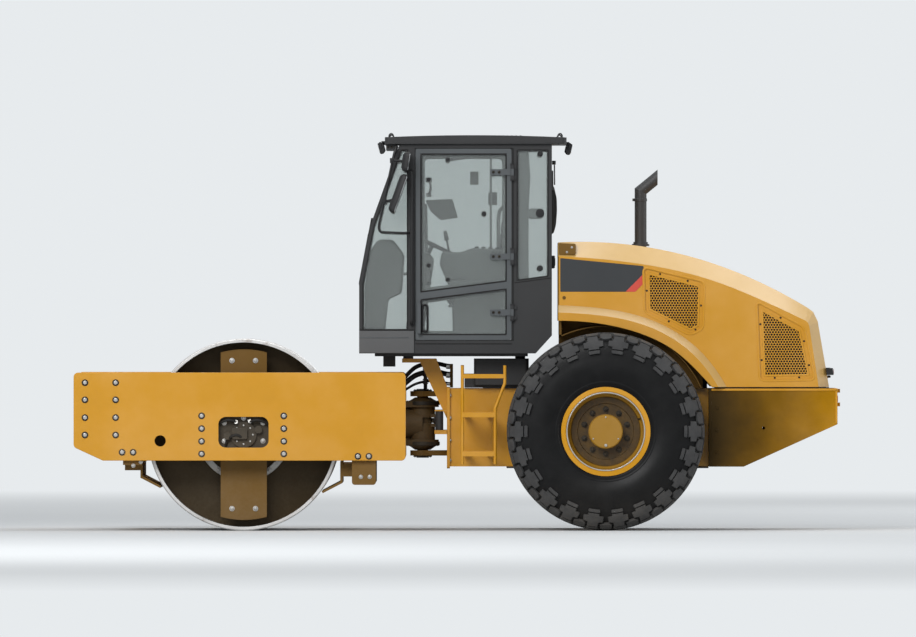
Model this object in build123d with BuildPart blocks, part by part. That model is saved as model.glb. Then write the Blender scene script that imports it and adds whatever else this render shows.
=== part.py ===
"""Single drum road roller: drum frame in front, cab and engine hood behind, two lugged tyres.

Millimetres. X runs from the drum to the engine, Y to the machine's right side, Z up from the floor.
The left pieces are drawn, and the right ones are their mirror images.
"""

import os
from math import cos, radians, sin, tan

from build123d import *

os.makedirs("parts", exist_ok=True)

# Whole machine, measured along its length from the drum's axis and the rear axle
front_overhang = 1358
wheel_base = 2896
rear_overhang = 1890
half_length = (front_overhang + wheel_base + rear_overhang) / 2
touch_gap = 0.3
run_gap = 0.05
move_gap = 6
paint_edge = 3

# Drum
drum_radius = 767
drum_width = 2134
drum_x = -half_length + front_overhang
drum_z = drum_radius
drum_wall = 30
drum_recess = 337
drum_head_wall = 30
drum_lip_chamfer = 8
drum_end = drum_width / 2
drum_head_y = drum_end - drum_recess - drum_head_wall

# Drive bars at the drum's ends, held to the heads by rubber blocks
drive_bar_width = 370
drive_bar_reach = drum_radius - drum_wall - 54
drive_bar_thick = 40
drive_bar_y = drum_end - 112
drive_disc_radius = 188
drive_disc_thick = 30
isolator_radius = 58
isolator_dx = 94
isolator_dz = drive_bar_reach - 91
stub_radius = 60
motor_radius = 104

# Drum frame
plate_thick = 45
plate_y = drum_end + 98
plate_top = 1264
plate_bottom = 560
plate_front = -half_length
plate_nose = 234
plate_nose_rise = 108
plate_corner = 36
window_width = 401
window_height = 246
window_z = drum_z + 20
window_corner = 60
tie_hole_radius = 45
tie_hole_dx = 692
tie_hole_dz = 158
beam_bottom = plate_bottom + 80
front_beam_top = plate_top - 84
front_beam_depth = 200
front_beam_x = plate_front + 52
rear_beam_top = 1100
rear_beam_depth = 206
carrier_width = 768
carrier_top = window_z + window_height / 2 + 74
carrier_thick = 30

# Articulated hitch
drum_to_hitch = 1430
hitch_x = drum_x + drum_to_hitch
hitch_z = 856
hitch_radius = 100
casting_bottom = 674
casting_top = 1032
flange_radius = 130
flange_thick = 48
king_pin_radius = 45
trunnion_radius = 120
shaft_radius = 80
shaft_nut_radius = 115
shaft_nut_thick = 34
ear_thick = 42
ear_space = 38
ear_half_width = 230
rear_beam_x = hitch_x - 506
plate_rear = hitch_x - 134

# Steering cylinders. A rod's eye is wide enough for its pin to drift in it as the hitch turns.
steer_arm = 125
steer_arm_angle = 20
steer_lug_radius = 30
steer_lug_thick = 28
steer_pin_radius = 12
steer_drift = 13
steer_z = 876
steer_base_x = hitch_x + 134
steer_base_y = 450
steer_lean = 4
steer_length = 412.3
barrel_radius = 32
barrel_bore = 25
barrel_length = 300
barrel_base = 48
gland_length = 24
rod_radius = 18
rod_reach = 260
rod_eye_radius = 34
rod_eye_height = 40
base_eye_height = 150
bracket_thick = 32

# Rear frame
bulkhead_x = hitch_x + 195
bulkhead_thick = 24
bulkhead_half = 480
bulkhead_bottom = 493
bulkhead_top = 1146
rail_y = 430
rail_thick = 25
rail_bottom = 509
rail_top = 1136
tail_half = 780
tail_wall = 20
tail_eye = 32
tail_end = half_length - tail_eye
tail_knee_x = tail_end - 752
tail_knee_z = 849
tail_hole_radius = 12

# Axle and wheels
axle_x = half_length - rear_overhang
tyre_radius = 792
axle_z = tyre_radius
wheel_y = 865
tyre_half = 295
lug_height = 24
lug_count = 22
bead_radius = 333
rim_half = 243
rim_flange_radius = 357
axle_tube_radius = 130
axle_flange_radius = 170
spindle_radius = 70
spindle_end = wheel_y + 35
hub_inner = wheel_y - 259
hub_cap_radius = 136
hub_cap_y = wheel_y + 210
tail_x = axle_x + tyre_radius + 36

# Cab
cab_length = 1544
cab_front_x = hitch_x - 508
cab_rear_x = cab_front_x + cab_length
cab_half = 800
cab_wall = 45
cab_floor_z = 1416
roof_bottom = 3092
roof_overhang = 30
glass_thick = 8
glass_y = cab_half - 26
screen_post = 26
screen_foot_z = cab_floor_z + 186
screen_knee_z = cab_floor_z + 554
screen_bend_z = cab_floor_z + 1019
screen_bend_dx = 88
screen_top_dx = 324
window_top = roof_bottom - 42
pillar_width = 54
door_front = cab_front_x + 446
door_rear = door_front + 781
door_foot = cab_floor_z + 102
door_head = roof_bottom - 30
door_gap = 6
door_band = 38
door_rise = 88
door_bar = 53
door_bar_z = door_foot + 332
hinge_pin_radius = 9
hinge_radius = 14
hinge_y = cab_half + 22

# Hood
hood_front = cab_rear_x + 51
hood_rear = tail_end - 66
hood_half = 780
hood_skin = 8
hood_bottom = rail_top + 11
hood_shoulder = 132
hood_hinge_x = hood_front + 29
hood_hinge_z = 2240
hood_pin_radius = 14
flare_reach = 62
arch_sheet = 8
arch_radius = tyre_radius + 46
arch_inner = 520
arch_outer = 750

# Planes and axes that many pieces share
drum_plane = Plane(origin=(drum_x, 0, drum_z), x_dir=(0, -1, 0), z_dir=(-1, 0, 0))
wheel_plane = Plane(origin=(axle_x, 0, axle_z), x_dir=(0, -1, 0), z_dir=(-1, 0, 0))
drum_axis = Axis((drum_x, 0, drum_z), (0, 1, 0))
axle_axis = Axis((axle_x, 0, axle_z), (0, 1, 0))
on_floor = (Align.CENTER, Align.CENTER, Align.MIN)
from_front = (Align.MIN, Align.CENTER, Align.MIN)


# Drum frame

with BuildPart() as side_plate_left:
    with BuildSketch(Plane.XZ.offset(plate_y)):
        with BuildLine():
            Polyline(
                (plate_front, plate_top),
                (plate_rear, plate_top),
                (plate_rear, plate_bottom),
                (plate_front + plate_nose, plate_bottom),
                (plate_front, plate_bottom + plate_nose_rise),
                close=True,
            )
        make_face()
        fillet(vertices(), plate_corner)
        with Locations((drum_x, window_z)):
            RectangleRounded(window_width, window_height, window_corner, mode=Mode.SUBTRACT)
        with Locations((plate_front + tie_hole_dx, plate_bottom + tie_hole_dz)):
            Circle(tie_hole_radius, mode=Mode.SUBTRACT)
    extrude(amount=plate_thick)
    chamfer(faces().sort_by(Axis.Y)[0].outer_wire().edges(), paint_edge)

with BuildPart() as side_plate_right:
    mirror(side_plate_left.part, about=Plane.XZ)

# The front beam is a box with a step along its top for the crew's feet.
with BuildPart() as front_beam:
    with BuildSketch(Plane.XZ.offset(-plate_y)):
        with Locations((front_beam_x, beam_bottom)):
            Rectangle(front_beam_depth, front_beam_top - beam_bottom, align=Align.MIN)
        fillet(vertices(), plate_corner)
    extrude(amount=2 * plate_y)
    for side in (-1, 1):
        with BuildSketch(Plane.XY.offset(beam_bottom)):
            with BuildLine():
                Polyline(
                    (front_beam_x + front_beam_depth, side * plate_y),
                    (front_beam_x + front_beam_depth + 150, side * plate_y),
                    (front_beam_x + front_beam_depth, side * (plate_y - 150)),
                    close=True,
                )
            make_face()
        extrude(amount=front_beam_top - beam_bottom - 60)

with BuildPart() as rear_beam:
    with BuildSketch(Plane.XZ.offset(-plate_y)):
        with Locations((rear_beam_x, beam_bottom)):
            Rectangle(rear_beam_depth, rear_beam_top - beam_bottom, align=Align.MIN)
        fillet(vertices(), plate_corner)
    extrude(amount=2 * plate_y)
    with BuildSketch(Plane.YZ.offset(rear_beam_x)):
        with Locations((0, hitch_z)):
            Circle(shaft_radius + run_gap)
    extrude(amount=rear_beam_depth, mode=Mode.SUBTRACT)

# A carrier behind each window holds the motor that turns or shakes the drum.
motor_flange_y = plate_y - carrier_thick - 40
motor_face_y = drive_bar_y + drive_bar_thick + move_gap

with BuildPart() as drum_motors:
    with BuildSketch(Plane.XZ.offset(plate_y - carrier_thick)):
        with Locations((drum_x, (plate_bottom + carrier_top) / 2)):
            RectangleRounded(carrier_width, carrier_top - plate_bottom, window_corner)
        with Locations((drum_x, window_z)):
            RectangleRounded(window_width, window_height, window_corner, mode=Mode.SUBTRACT)
    extrude(amount=carrier_thick)
    with BuildSketch(Plane.XZ.offset(motor_flange_y)):
        with Locations((drum_x, window_z)):
            RectangleRounded(window_width + 90, window_height + 90, window_corner)
    extrude(amount=40)
    with BuildSketch(Plane.XZ.offset(motor_face_y)):
        with Locations((drum_x, drum_z)):
            Circle(motor_radius)
    extrude(amount=plate_y - 10 - motor_face_y)
    with BuildSketch(Plane.XZ.offset(plate_y - 10)):
        with Locations((drum_x - 30, drum_z + 10)):
            RectangleRounded(120, 90, 14)
    extrude(amount=30)
    with BuildSketch(Plane.XZ.offset(motor_flange_y + 40)):
        with Locations((drum_x + 118, window_z + 20), (drum_x - 128, window_z - 30)):
            Circle(30)
    extrude(amount=42)
    with BuildSketch(Plane.XZ.offset(drive_bar_y - drive_disc_thick)):
        with Locations((drum_x, drum_z)):
            Circle(stub_radius)
    extrude(amount=motor_face_y - drive_bar_y + drive_disc_thick)
    mirror(about=Plane.XZ)

# Scrapers hang from the side plates, and a blade leans on the drum across its width.
blade_half = drum_end - 17
blade_dx = 152
blade_drop = 82
blade_thick = 16

with BuildPart() as scraper_front:
    blade_x = drum_x - 820
    blade_z = plate_bottom - 138
    with BuildSketch(Plane.XZ.offset(-blade_half)):
        with BuildLine():
            Polyline(
                (blade_x - 6, blade_z),
                (blade_x + blade_dx, blade_z - blade_drop),
                (blade_x + blade_dx + 8, blade_z - blade_drop + blade_thick),
                (blade_x + 12, blade_z + 12),
                (blade_x + 12, plate_bottom - 78),
                (blade_x - 6, plate_bottom - 78),
                close=True,
            )
        make_face()
        with Locations((blade_x + 12, plate_bottom)):
            Rectangle(142, 78, align=(Align.MAX, Align.MAX))
    extrude(amount=2 * blade_half)
    for side in (-1, 1):
        with Locations((blade_x - 68, side * plate_y, plate_bottom)):
            Box(
                152,
                125,
                70,
                align=(Align.CENTER, Align.MIN if side < 0 else Align.MAX, Align.CENTER),
            )

with BuildPart() as scraper_rear:
    blade_x = drum_x + 784
    blade_z = plate_bottom - 180
    with BuildSketch(Plane.XZ.offset(-blade_half)):
        with BuildLine():
            Polyline(
                (blade_x + 6, blade_z),
                (blade_x - blade_dx, blade_z - blade_drop),
                (blade_x - blade_dx - 8, blade_z - blade_drop + blade_thick),
                (blade_x - 12, blade_z + 12),
                (blade_x - 12, plate_bottom - 8),
                (blade_x + 6, plate_bottom - 8),
                close=True,
            )
        make_face()
        with Locations((blade_x + 6, plate_bottom - 24)):
            Rectangle(86, 104, align=(Align.MIN, Align.MAX))
    extrude(amount=2 * blade_half)
    for side in (-1, 1):
        with BuildSketch(Plane.XZ.offset(side * (plate_y - 62) - 62)):
            with Locations((blade_x + 178, plate_bottom - 86)):
                RectangleRounded(192, 216, 24)
        extrude(amount=124)


# Drum

with BuildPart() as drum:
    with BuildSketch(drum_plane):
        with BuildLine():
            Polyline(
                (-drum_end, drum_radius - drum_wall),
                (-drum_end, drum_radius - drum_lip_chamfer),
                (-drum_end + drum_lip_chamfer, drum_radius),
                (drum_end - drum_lip_chamfer, drum_radius),
                (drum_end, drum_radius - drum_lip_chamfer),
                (drum_end, drum_radius - drum_wall),
                (drum_head_y + drum_head_wall, drum_radius - drum_wall),
                (drum_head_y + drum_head_wall, 0),
                (drum_head_y, 0),
                (drum_head_y, drum_radius - drum_wall),
                (-drum_head_y, drum_radius - drum_wall),
                (-drum_head_y, 0),
                (-drum_head_y - drum_head_wall, 0),
                (-drum_head_y - drum_head_wall, drum_radius - drum_wall),
                close=True,
            )
        make_face()
    revolve(axis=drum_axis)

with BuildPart() as drive_bars:
    with BuildSketch(Plane.XZ.offset(drive_bar_y)):
        with Locations((drum_x, drum_z)):
            Circle(drive_bar_reach)
            Rectangle(drive_bar_width, 2 * drive_bar_reach, mode=Mode.INTERSECT)
            Circle(stub_radius + run_gap, mode=Mode.SUBTRACT)
    extrude(amount=drive_bar_thick)
    with BuildSketch(Plane.XZ.offset(drive_bar_y - drive_disc_thick)):
        with Locations((drum_x, drum_z)):
            Circle(drive_disc_radius)
            Circle(stub_radius + run_gap, mode=Mode.SUBTRACT)
    extrude(amount=drive_disc_thick)
    mirror(about=Plane.XZ)

with BuildPart() as isolators:
    with BuildSketch(Plane.XZ.offset(drum_head_y + drum_head_wall)):
        with Locations((drum_x, drum_z)):
            with GridLocations(2 * isolator_dx, 2 * isolator_dz, 2, 2):
                Circle(isolator_radius)
    extrude(amount=drive_bar_y - drum_head_y - drum_head_wall)
    mirror(about=Plane.XZ)


# Hitch

pin_dx = steer_arm * cos(radians(steer_arm_angle))
pin_dy = steer_arm * sin(radians(steer_arm_angle))
lug_gap = rod_eye_height + 8
waist_radius = steer_arm - steer_drift - rod_eye_radius - move_gap
trunnion_end = rear_beam_x + rear_beam_depth + move_gap
shaft_end = rear_beam_x - move_gap

with BuildPart() as hitch_casting:
    with Locations((hitch_x, 0, casting_bottom)):
        Cylinder(hitch_radius, casting_top - casting_bottom, align=on_floor)
        Cylinder(flange_radius, flange_thick, align=on_floor)
    with Locations((hitch_x, 0, casting_top - flange_thick)):
        Cylinder(flange_radius, flange_thick, align=on_floor)
    # Bearing caps above and below, and a tail on the lower flange.
    with Locations((hitch_x, 0, casting_top)):
        Cone(flange_radius - 18, 62, 30, align=on_floor)
    with Locations(Location((hitch_x, 0, casting_bottom), (180, 0, 0))):
        Cone(flange_radius - 18, 62, 34, align=on_floor)
    with BuildSketch(Plane.YZ.offset(trunnion_end)):
        with Locations((0, hitch_z)):
            Circle(trunnion_radius)
    extrude(amount=hitch_x - trunnion_end)
    for web_z in (casting_bottom, casting_top - flange_thick):
        with BuildSketch(Plane.XY.offset(web_z)):
            with Locations((hitch_x, 0)):
                Circle(flange_radius)
            with Locations((trunnion_end + 60, 0)):
                Circle(60)
            make_hull()
        extrude(amount=flange_thick)
    with Locations((trunnion_end, 0, casting_bottom)):
        Box(hitch_x - trunnion_end, 50, casting_top - casting_bottom, align=from_front)
    with BuildSketch(Plane.YZ.offset(shaft_end)):
        with Locations((0, hitch_z)):
            Circle(shaft_radius)
    extrude(amount=hitch_x - shaft_end)
    with BuildSketch(Plane.YZ.offset(shaft_end - shaft_nut_thick)):
        with Locations((0, hitch_z)):
            RegularPolygon(shaft_nut_radius, 6)
    extrude(amount=shaft_nut_thick)
    # A waist between the two steering lugs leaves room for the rod eyes.
    with BuildSketch(Plane.XY.offset(steer_z - lug_gap / 2)):
        with Locations((hitch_x, 0)):
            Circle(flange_radius)
            Circle(waist_radius, mode=Mode.SUBTRACT)
        with Locations((hitch_x, 0)):
            Rectangle(2 * flange_radius, 2 * flange_radius, align=(Align.MIN, Align.CENTER), mode=Mode.INTERSECT)
    extrude(amount=lug_gap, mode=Mode.SUBTRACT)
    for lug_z in (steer_z - lug_gap / 2 - steer_lug_thick, steer_z + lug_gap / 2):
        with BuildSketch(Plane.XY.offset(lug_z)):
            with Locations((hitch_x + pin_dx, -pin_dy), (hitch_x + pin_dx, pin_dy)):
                Circle(steer_lug_radius)
            with Locations((hitch_x, 0)):
                Circle(hitch_radius - 20)
            make_hull()
        extrude(amount=steer_lug_thick)
    with Locations((hitch_x + pin_dx, -pin_dy, steer_z), (hitch_x + pin_dx, pin_dy, steer_z)):
        Cylinder(steer_pin_radius, lug_gap + 2 * steer_lug_thick)
    with Locations((hitch_x, 0, (casting_bottom + casting_top) / 2)):
        Cylinder(king_pin_radius + run_gap, casting_top - casting_bottom + 80, mode=Mode.SUBTRACT)

with BuildPart() as hitch_ears:
    for ear_z in (casting_bottom - ear_space - ear_thick, casting_top + ear_space):
        with BuildSketch(Plane.XY.offset(ear_z)):
            with BuildLine():
                Polyline(
                    (bulkhead_x, -ear_half_width),
                    (bulkhead_x, ear_half_width),
                    (hitch_x, hitch_radius),
                    (hitch_x, -hitch_radius),
                    close=True,
                )
            make_face()
            with Locations((hitch_x, 0)):
                Circle(hitch_radius)
        extrude(amount=ear_thick)
    with Locations((hitch_x, 0, casting_bottom - ear_space - ear_thick - 12)):
        Cylinder(
            king_pin_radius,
            casting_top - casting_bottom + 2 * ear_space + 2 * ear_thick + 24,
            align=on_floor,
        )


# Steering cylinders: the left one's plane has its normal from the base pin along the rod.
left_cylinder = Plane(
    origin=(steer_base_x, -steer_base_y, steer_z),
    x_dir=(0, 0, 1),
    z_dir=(-sin(radians(steer_lean)), cos(radians(steer_lean)), 0),
)

with BuildPart() as steer_barrel_left:
    with Locations((steer_base_x, -steer_base_y, steer_z)):
        Cylinder(barrel_radius, base_eye_height)
    with BuildSketch(left_cylinder):
        Circle(barrel_radius)
    extrude(amount=barrel_length)
    with BuildSketch(left_cylinder.offset(barrel_base)):
        Circle(barrel_bore)
    extrude(amount=barrel_length - barrel_base - gland_length, mode=Mode.SUBTRACT)
    with BuildSketch(left_cylinder.offset(barrel_length - gland_length)):
        Circle(rod_radius + run_gap)
    extrude(amount=gland_length, mode=Mode.SUBTRACT)
    with Locations((steer_base_x, -steer_base_y, steer_z)):
        Cylinder(rod_radius + run_gap, base_eye_height, mode=Mode.SUBTRACT)

with BuildPart() as steer_rod_left:
    with BuildSketch(left_cylinder.offset(steer_length - rod_reach)):
        Circle(rod_radius)
    extrude(amount=rod_reach)
    with BuildSketch(Plane.XY.offset(steer_z - rod_eye_height / 2)):
        with Locations(left_cylinder.offset(steer_length).origin):
            Circle(rod_eye_radius)
    extrude(amount=rod_eye_height)
    with BuildSketch(Plane.XY.offset(steer_z - rod_eye_height / 2)):
        with Locations(left_cylinder.offset(steer_length).origin):
            Circle(steer_pin_radius + steer_drift + touch_gap)
    extrude(amount=rod_eye_height, mode=Mode.SUBTRACT)

with BuildPart() as steer_barrel_right:
    mirror(steer_barrel_left.part, about=Plane.XZ)

with BuildPart() as steer_rod_right:
    mirror(steer_rod_left.part, about=Plane.XZ)


# Rear frame

bracket_low = steer_z - base_eye_height / 2 - 1
bracket_high = steer_z + base_eye_height / 2 + 1
bracket_reach = bulkhead_x - steer_base_x + 39

with BuildPart() as bulkhead:
    with BuildSketch(Plane.YZ.offset(bulkhead_x)):
        with Locations((0, (bulkhead_bottom + bulkhead_top) / 2)):
            RectangleRounded(2 * bulkhead_half, bulkhead_top - bulkhead_bottom, 20)
    extrude(amount=bulkhead_thick)
    for side in (-1, 1):
        with Locations((bulkhead_x, side * steer_base_y, bracket_low)):
            Box(bracket_reach, 84, bracket_thick, align=(Align.MAX, Align.CENTER, Align.MAX))
        with Locations((bulkhead_x, side * steer_base_y, bracket_high)):
            Box(bracket_reach, 70, 10, align=(Align.MAX, Align.CENTER, Align.MIN))
        with Locations((steer_base_x, side * steer_base_y, steer_z)):
            Cylinder(rod_radius, bracket_high - bracket_low)

with BuildPart() as rails:
    with BuildSketch(Plane.XZ.offset(rail_y)):
        with Locations((bulkhead_x + bulkhead_thick, rail_bottom)):
            Rectangle(tail_x - bulkhead_x - bulkhead_thick, rail_top - rail_bottom, align=Align.MIN)
        with Locations((axle_x, axle_z)):
            Circle(axle_tube_radius + touch_gap / 3, mode=Mode.SUBTRACT)
    extrude(amount=rail_thick)
    mirror(about=Plane.XZ)

with BuildPart() as belly_plate:
    with Locations((bulkhead_x + bulkhead_thick, 0, rail_bottom)):
        Box(tail_x - bulkhead_x - bulkhead_thick, 2 * rail_y, 16, align=from_front)

with BuildPart() as tail_cross:
    with Locations((tail_x, 0, rail_bottom)):
        Box(tail_wall, 2 * tail_half, rail_top - rail_bottom, align=from_front)

with BuildPart() as tail_sides:
    with BuildSketch(Plane.XZ.offset(tail_half - tail_wall)):
        with BuildLine():
            Polyline(
                (tail_x + tail_wall, rail_top),
                (tail_end, rail_top),
                (tail_end, tail_knee_z),
                (tail_knee_x, rail_bottom),
                (tail_x + tail_wall, rail_bottom),
                close=True,
            )
        make_face()
        with Locations((tail_knee_x + 160, rail_top - 318)):
            Circle(tail_hole_radius, mode=Mode.SUBTRACT)
    extrude(amount=tail_wall)
    mirror(about=Plane.XZ)

tow_hole_radius = 9
tow_z = rail_top - 36
tow_eye_thick = 30
tow_eye_dz = 55

with BuildPart() as tail_pan:
    with BuildSketch(Plane.XZ.offset(-(tail_half - tail_wall))):
        with BuildLine():
            Polyline(
                (tail_end, rail_top),
                (tail_end, tail_knee_z),
                (tail_knee_x, rail_bottom),
                (tail_x + tail_wall, rail_bottom),
                (tail_x + tail_wall, rail_bottom + tail_wall),
                (tail_knee_x - 6, rail_bottom + tail_wall),
                (tail_end - tail_wall, tail_knee_z + 12),
                (tail_end - tail_wall, rail_top),
                close=True,
            )
        make_face()
    extrude(amount=2 * (tail_half - tail_wall))
    # Two eyes hold a tow pin.
    for eye_side in (-1, 1):
        with BuildSketch(Plane.XY.offset(tow_z - 55 + eye_side * tow_eye_dz)):
            with Locations((tail_end, 0)):
                Rectangle(tail_eye, 110, align=(Align.MIN, Align.CENTER))
            with Locations((tail_end + tail_eye / 2, 0)):
                Circle(tow_hole_radius, mode=Mode.SUBTRACT)
        extrude(amount=tow_eye_thick)

with BuildPart() as axle_housing:
    with BuildSketch(wheel_plane):
        with BuildLine():
            Polyline(
                (-spindle_end, 0),
                (-spindle_end, spindle_radius),
                (-hub_inner + move_gap, spindle_radius),
                (-hub_inner + move_gap, axle_flange_radius),
                (-hub_inner + 66, axle_flange_radius),
                (-hub_inner + 66, axle_tube_radius),
                (-230, axle_tube_radius),
                (-150, 225),
                (150, 225),
                (230, axle_tube_radius),
                (hub_inner - 66, axle_tube_radius),
                (hub_inner - 66, axle_flange_radius),
                (hub_inner - move_gap, axle_flange_radius),
                (hub_inner - move_gap, spindle_radius),
                (spindle_end, spindle_radius),
                (spindle_end, 0),
                close=True,
            )
        make_face()
    revolve(axis=axle_axis)

engine_z = 1060

with BuildPart() as engine_block:
    with Locations((axle_x + 218, 0, engine_z)):
        Box(760, 560, 780, align=on_floor)
    chamfer(edges().filter_by(Axis.X).group_by(Axis.Z)[-1], 80)
    with Locations((tail_x - 10, 0, engine_z - 60)):
        Box(250, 700, 500, align=(Align.MAX, Align.CENTER, Align.MIN))
    for foot_x in (axle_x - 60, axle_x + 420):
        with Locations((foot_x, -rail_y, engine_z + 20)):
            Box(120, rail_y - 240, 70, align=(Align.CENTER, Align.MIN, Align.MAX))
        with Locations((foot_x, rail_y, engine_z + 20)):
            Box(120, rail_y - 240, 70, align=(Align.CENTER, Align.MAX, Align.MAX))

with BuildPart() as radiator:
    with Locations((tail_x + 190, 0, rail_top - 100)):
        Box(160, 1300, 700, align=on_floor)
    for foot_side in (-1, 1):
        with Locations((tail_x + 190, foot_side * 600, rail_bottom + tail_wall)):
            Box(60, 60, rail_top - 100 - rail_bottom - tail_wall, align=on_floor)

firewall_thick = 18
firewall_top = rail_top + 900
hinge_post_y = 400

with BuildPart() as firewall:
    with Locations((hood_front + 8, 0, rail_top)):
        Box(firewall_thick, 2 * arch_inner - 4, firewall_top - rail_top, align=from_front)
    with Locations((hood_front + 8, 0, rail_top + 430)):
        Box(firewall_thick, 2 * arch_outer, firewall_top - rail_top - 430, align=from_front)
    for side in (-1, 1):
        with Locations((hood_front + 8, side * hinge_post_y, firewall_top)):
            Box(46, 50, hood_hinge_z + 24 - firewall_top, align=from_front)
        with BuildSketch(Plane.XZ.offset(side * (hinge_post_y + 50) - 45)):
            with Locations((hood_hinge_x, hood_hinge_z)):
                Circle(hood_pin_radius)
        extrude(amount=90)

# Arch over each tyre, with its inner wall up inside the hood.
arch_front = hood_front + 8 + firewall_thick
arch_length = 1134
arch_height = 690

with BuildPart() as wheel_arches:
    with BuildSketch(Plane.XZ.offset(arch_inner + arch_sheet)):
        with Locations((axle_x, axle_z)):
            Circle(arch_radius + arch_sheet)
            Circle(arch_radius, mode=Mode.SUBTRACT)
        with Locations((arch_front, rail_top)):
            Rectangle(arch_length, arch_height, align=Align.MIN, mode=Mode.INTERSECT)
    extrude(amount=arch_outer - arch_inner - arch_sheet)
    with BuildSketch(Plane.XZ.offset(arch_inner)):
        with Locations((arch_front, rail_top)):
            Rectangle(arch_length, arch_height, align=Align.MIN)
    extrude(amount=arch_sheet)
    mirror(about=Plane.XZ)


# Wheels

carcass_radius = tyre_radius - lug_height
lug_gap_y = 22
lug_thick = 96

# One tread lug of the outer row, drawn with the wheel's axis along Z and the lug pointing along X.
with BuildPart() as lug:
    with BuildSketch(Plane.XZ):
        with BuildLine():
            Polyline(
                (carcass_radius - 60, lug_gap_y),
                (tyre_radius, lug_gap_y),
                (tyre_radius, tyre_half - 84),
                (tyre_radius - 58, tyre_half - 22),
                (tyre_radius - 160, tyre_half),
                (tyre_radius - 170, tyre_half - 70),
                close=True,
            )
        make_face()
    extrude(amount=lug_thick / 2, both=True)

with BuildPart() as tyre_left:
    with BuildSketch(wheel_plane):
        with BuildLine():
            Polyline(
                (wheel_y - rim_half + 10, bead_radius),
                (wheel_y - rim_half + 10, rim_flange_radius + 2),
                (wheel_y - tyre_half, bead_radius + 240),
                (wheel_y - tyre_half + 84, carcass_radius),
                (wheel_y + tyre_half - 84, carcass_radius),
                (wheel_y + tyre_half, bead_radius + 240),
                (wheel_y + rim_half - 10, rim_flange_radius + 2),
                (wheel_y + rim_half - 10, bead_radius),
                close=True,
            )
        make_face()
    revolve(axis=axle_axis)
    # Two rows of lugs, half a pitch apart
    for out, turn in ((-1, 0), (1, 180 / lug_count)):
        row_plane = Plane(origin=(axle_x, -wheel_y, axle_z), x_dir=(1, 0, 0), z_dir=(0, out, 0))
        with Locations(row_plane):
            with PolarLocations(0, lug_count, start_angle=turn):
                add(lug.part)

with BuildPart() as tyre_right:
    mirror(tyre_left.part, about=Plane.XZ)

disc_y = wheel_y + 80

with BuildPart() as rim_left:
    with BuildSketch(wheel_plane):
        with BuildLine():
            Polyline(
                (hub_inner, spindle_radius + run_gap),
                (hub_inner, 150),
                (disc_y - 40, 178),
                (disc_y - 40, 250),
                (disc_y - 16, 308),
                (wheel_y - rim_half, 314),
                (wheel_y - rim_half, rim_flange_radius),
                (wheel_y - rim_half + 10, rim_flange_radius),
                (wheel_y - rim_half + 10, bead_radius),
                (wheel_y + rim_half - 10, bead_radius),
                (wheel_y + rim_half - 10, rim_flange_radius),
                (wheel_y + rim_half, rim_flange_radius),
                (wheel_y + rim_half, 322),
                (wheel_y + rim_half - 12, 316),
                (wheel_y + rim_half - 12, 308),
                (wheel_y + rim_half - 34, 300),
                (disc_y + 34, 296),
                (disc_y + 14, 272),
                (disc_y + 14, 226),
                (disc_y, 222),
                (disc_y, hub_cap_radius),
                (hub_cap_y - 8, hub_cap_radius),
                (hub_cap_y, hub_cap_radius - 8),
                (hub_cap_y, 0),
                (spindle_end + move_gap, 0),
                (spindle_end + move_gap, spindle_radius + run_gap),
                close=True,
            )
        make_face()
    revolve(axis=axle_axis)

with BuildPart() as rim_right:
    mirror(rim_left.part, about=Plane.XZ)


# Cab supports and ladders

arm_y = 330
arm_thick = 40
arm_top = cab_floor_z - 42
arm_front = hitch_x - 165
cradle_front = cab_front_x + 920

with BuildPart() as cab_support:
    for side in (-1, 1):
        with BuildSketch(Plane.XZ.offset(side * arm_y - arm_thick / 2)):
            with BuildLine():
                Polyline(
                    (arm_front, arm_top - 32),
                    (arm_front, arm_top),
                    (hitch_x + 110, arm_top),
                    (bulkhead_x, bulkhead_top + 8),
                    (bulkhead_x, bulkhead_top - 254),
                    (hitch_x - 18, arm_top - 32),
                    close=True,
                )
            make_face()
        extrude(amount=arm_thick)
    with Locations((arm_front, 0, arm_top - 32)):
        Box(275, 2 * arm_y - arm_thick, 32, align=from_front)

with BuildPart() as cab_cradle:
    with Locations((cradle_front, 0, rail_top + 28)):
        Box(440, 1080, arm_top - rail_top - 28, align=from_front)
    fillet(edges().filter_by(Axis.Z), 30)
    with Locations((cradle_front - 76, 0, rail_top + 5)):
        Box(160, 960, 78, align=from_front)
    for side in (-1, 1):
        with Locations((cradle_front + 72, side * (rail_y + rail_thick / 2), rail_top)):
            Box(300, 80, 40, align=from_front)

ladder_y = 880
ladder_tube = 13
ladder_front = bulkhead_x + 124
ladder_foot = rail_bottom + 19
ladder_head = cab_floor_z - 96
ladder_width = 262
step_depth = 170
step_height = 40
step_pitch = 312

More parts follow.
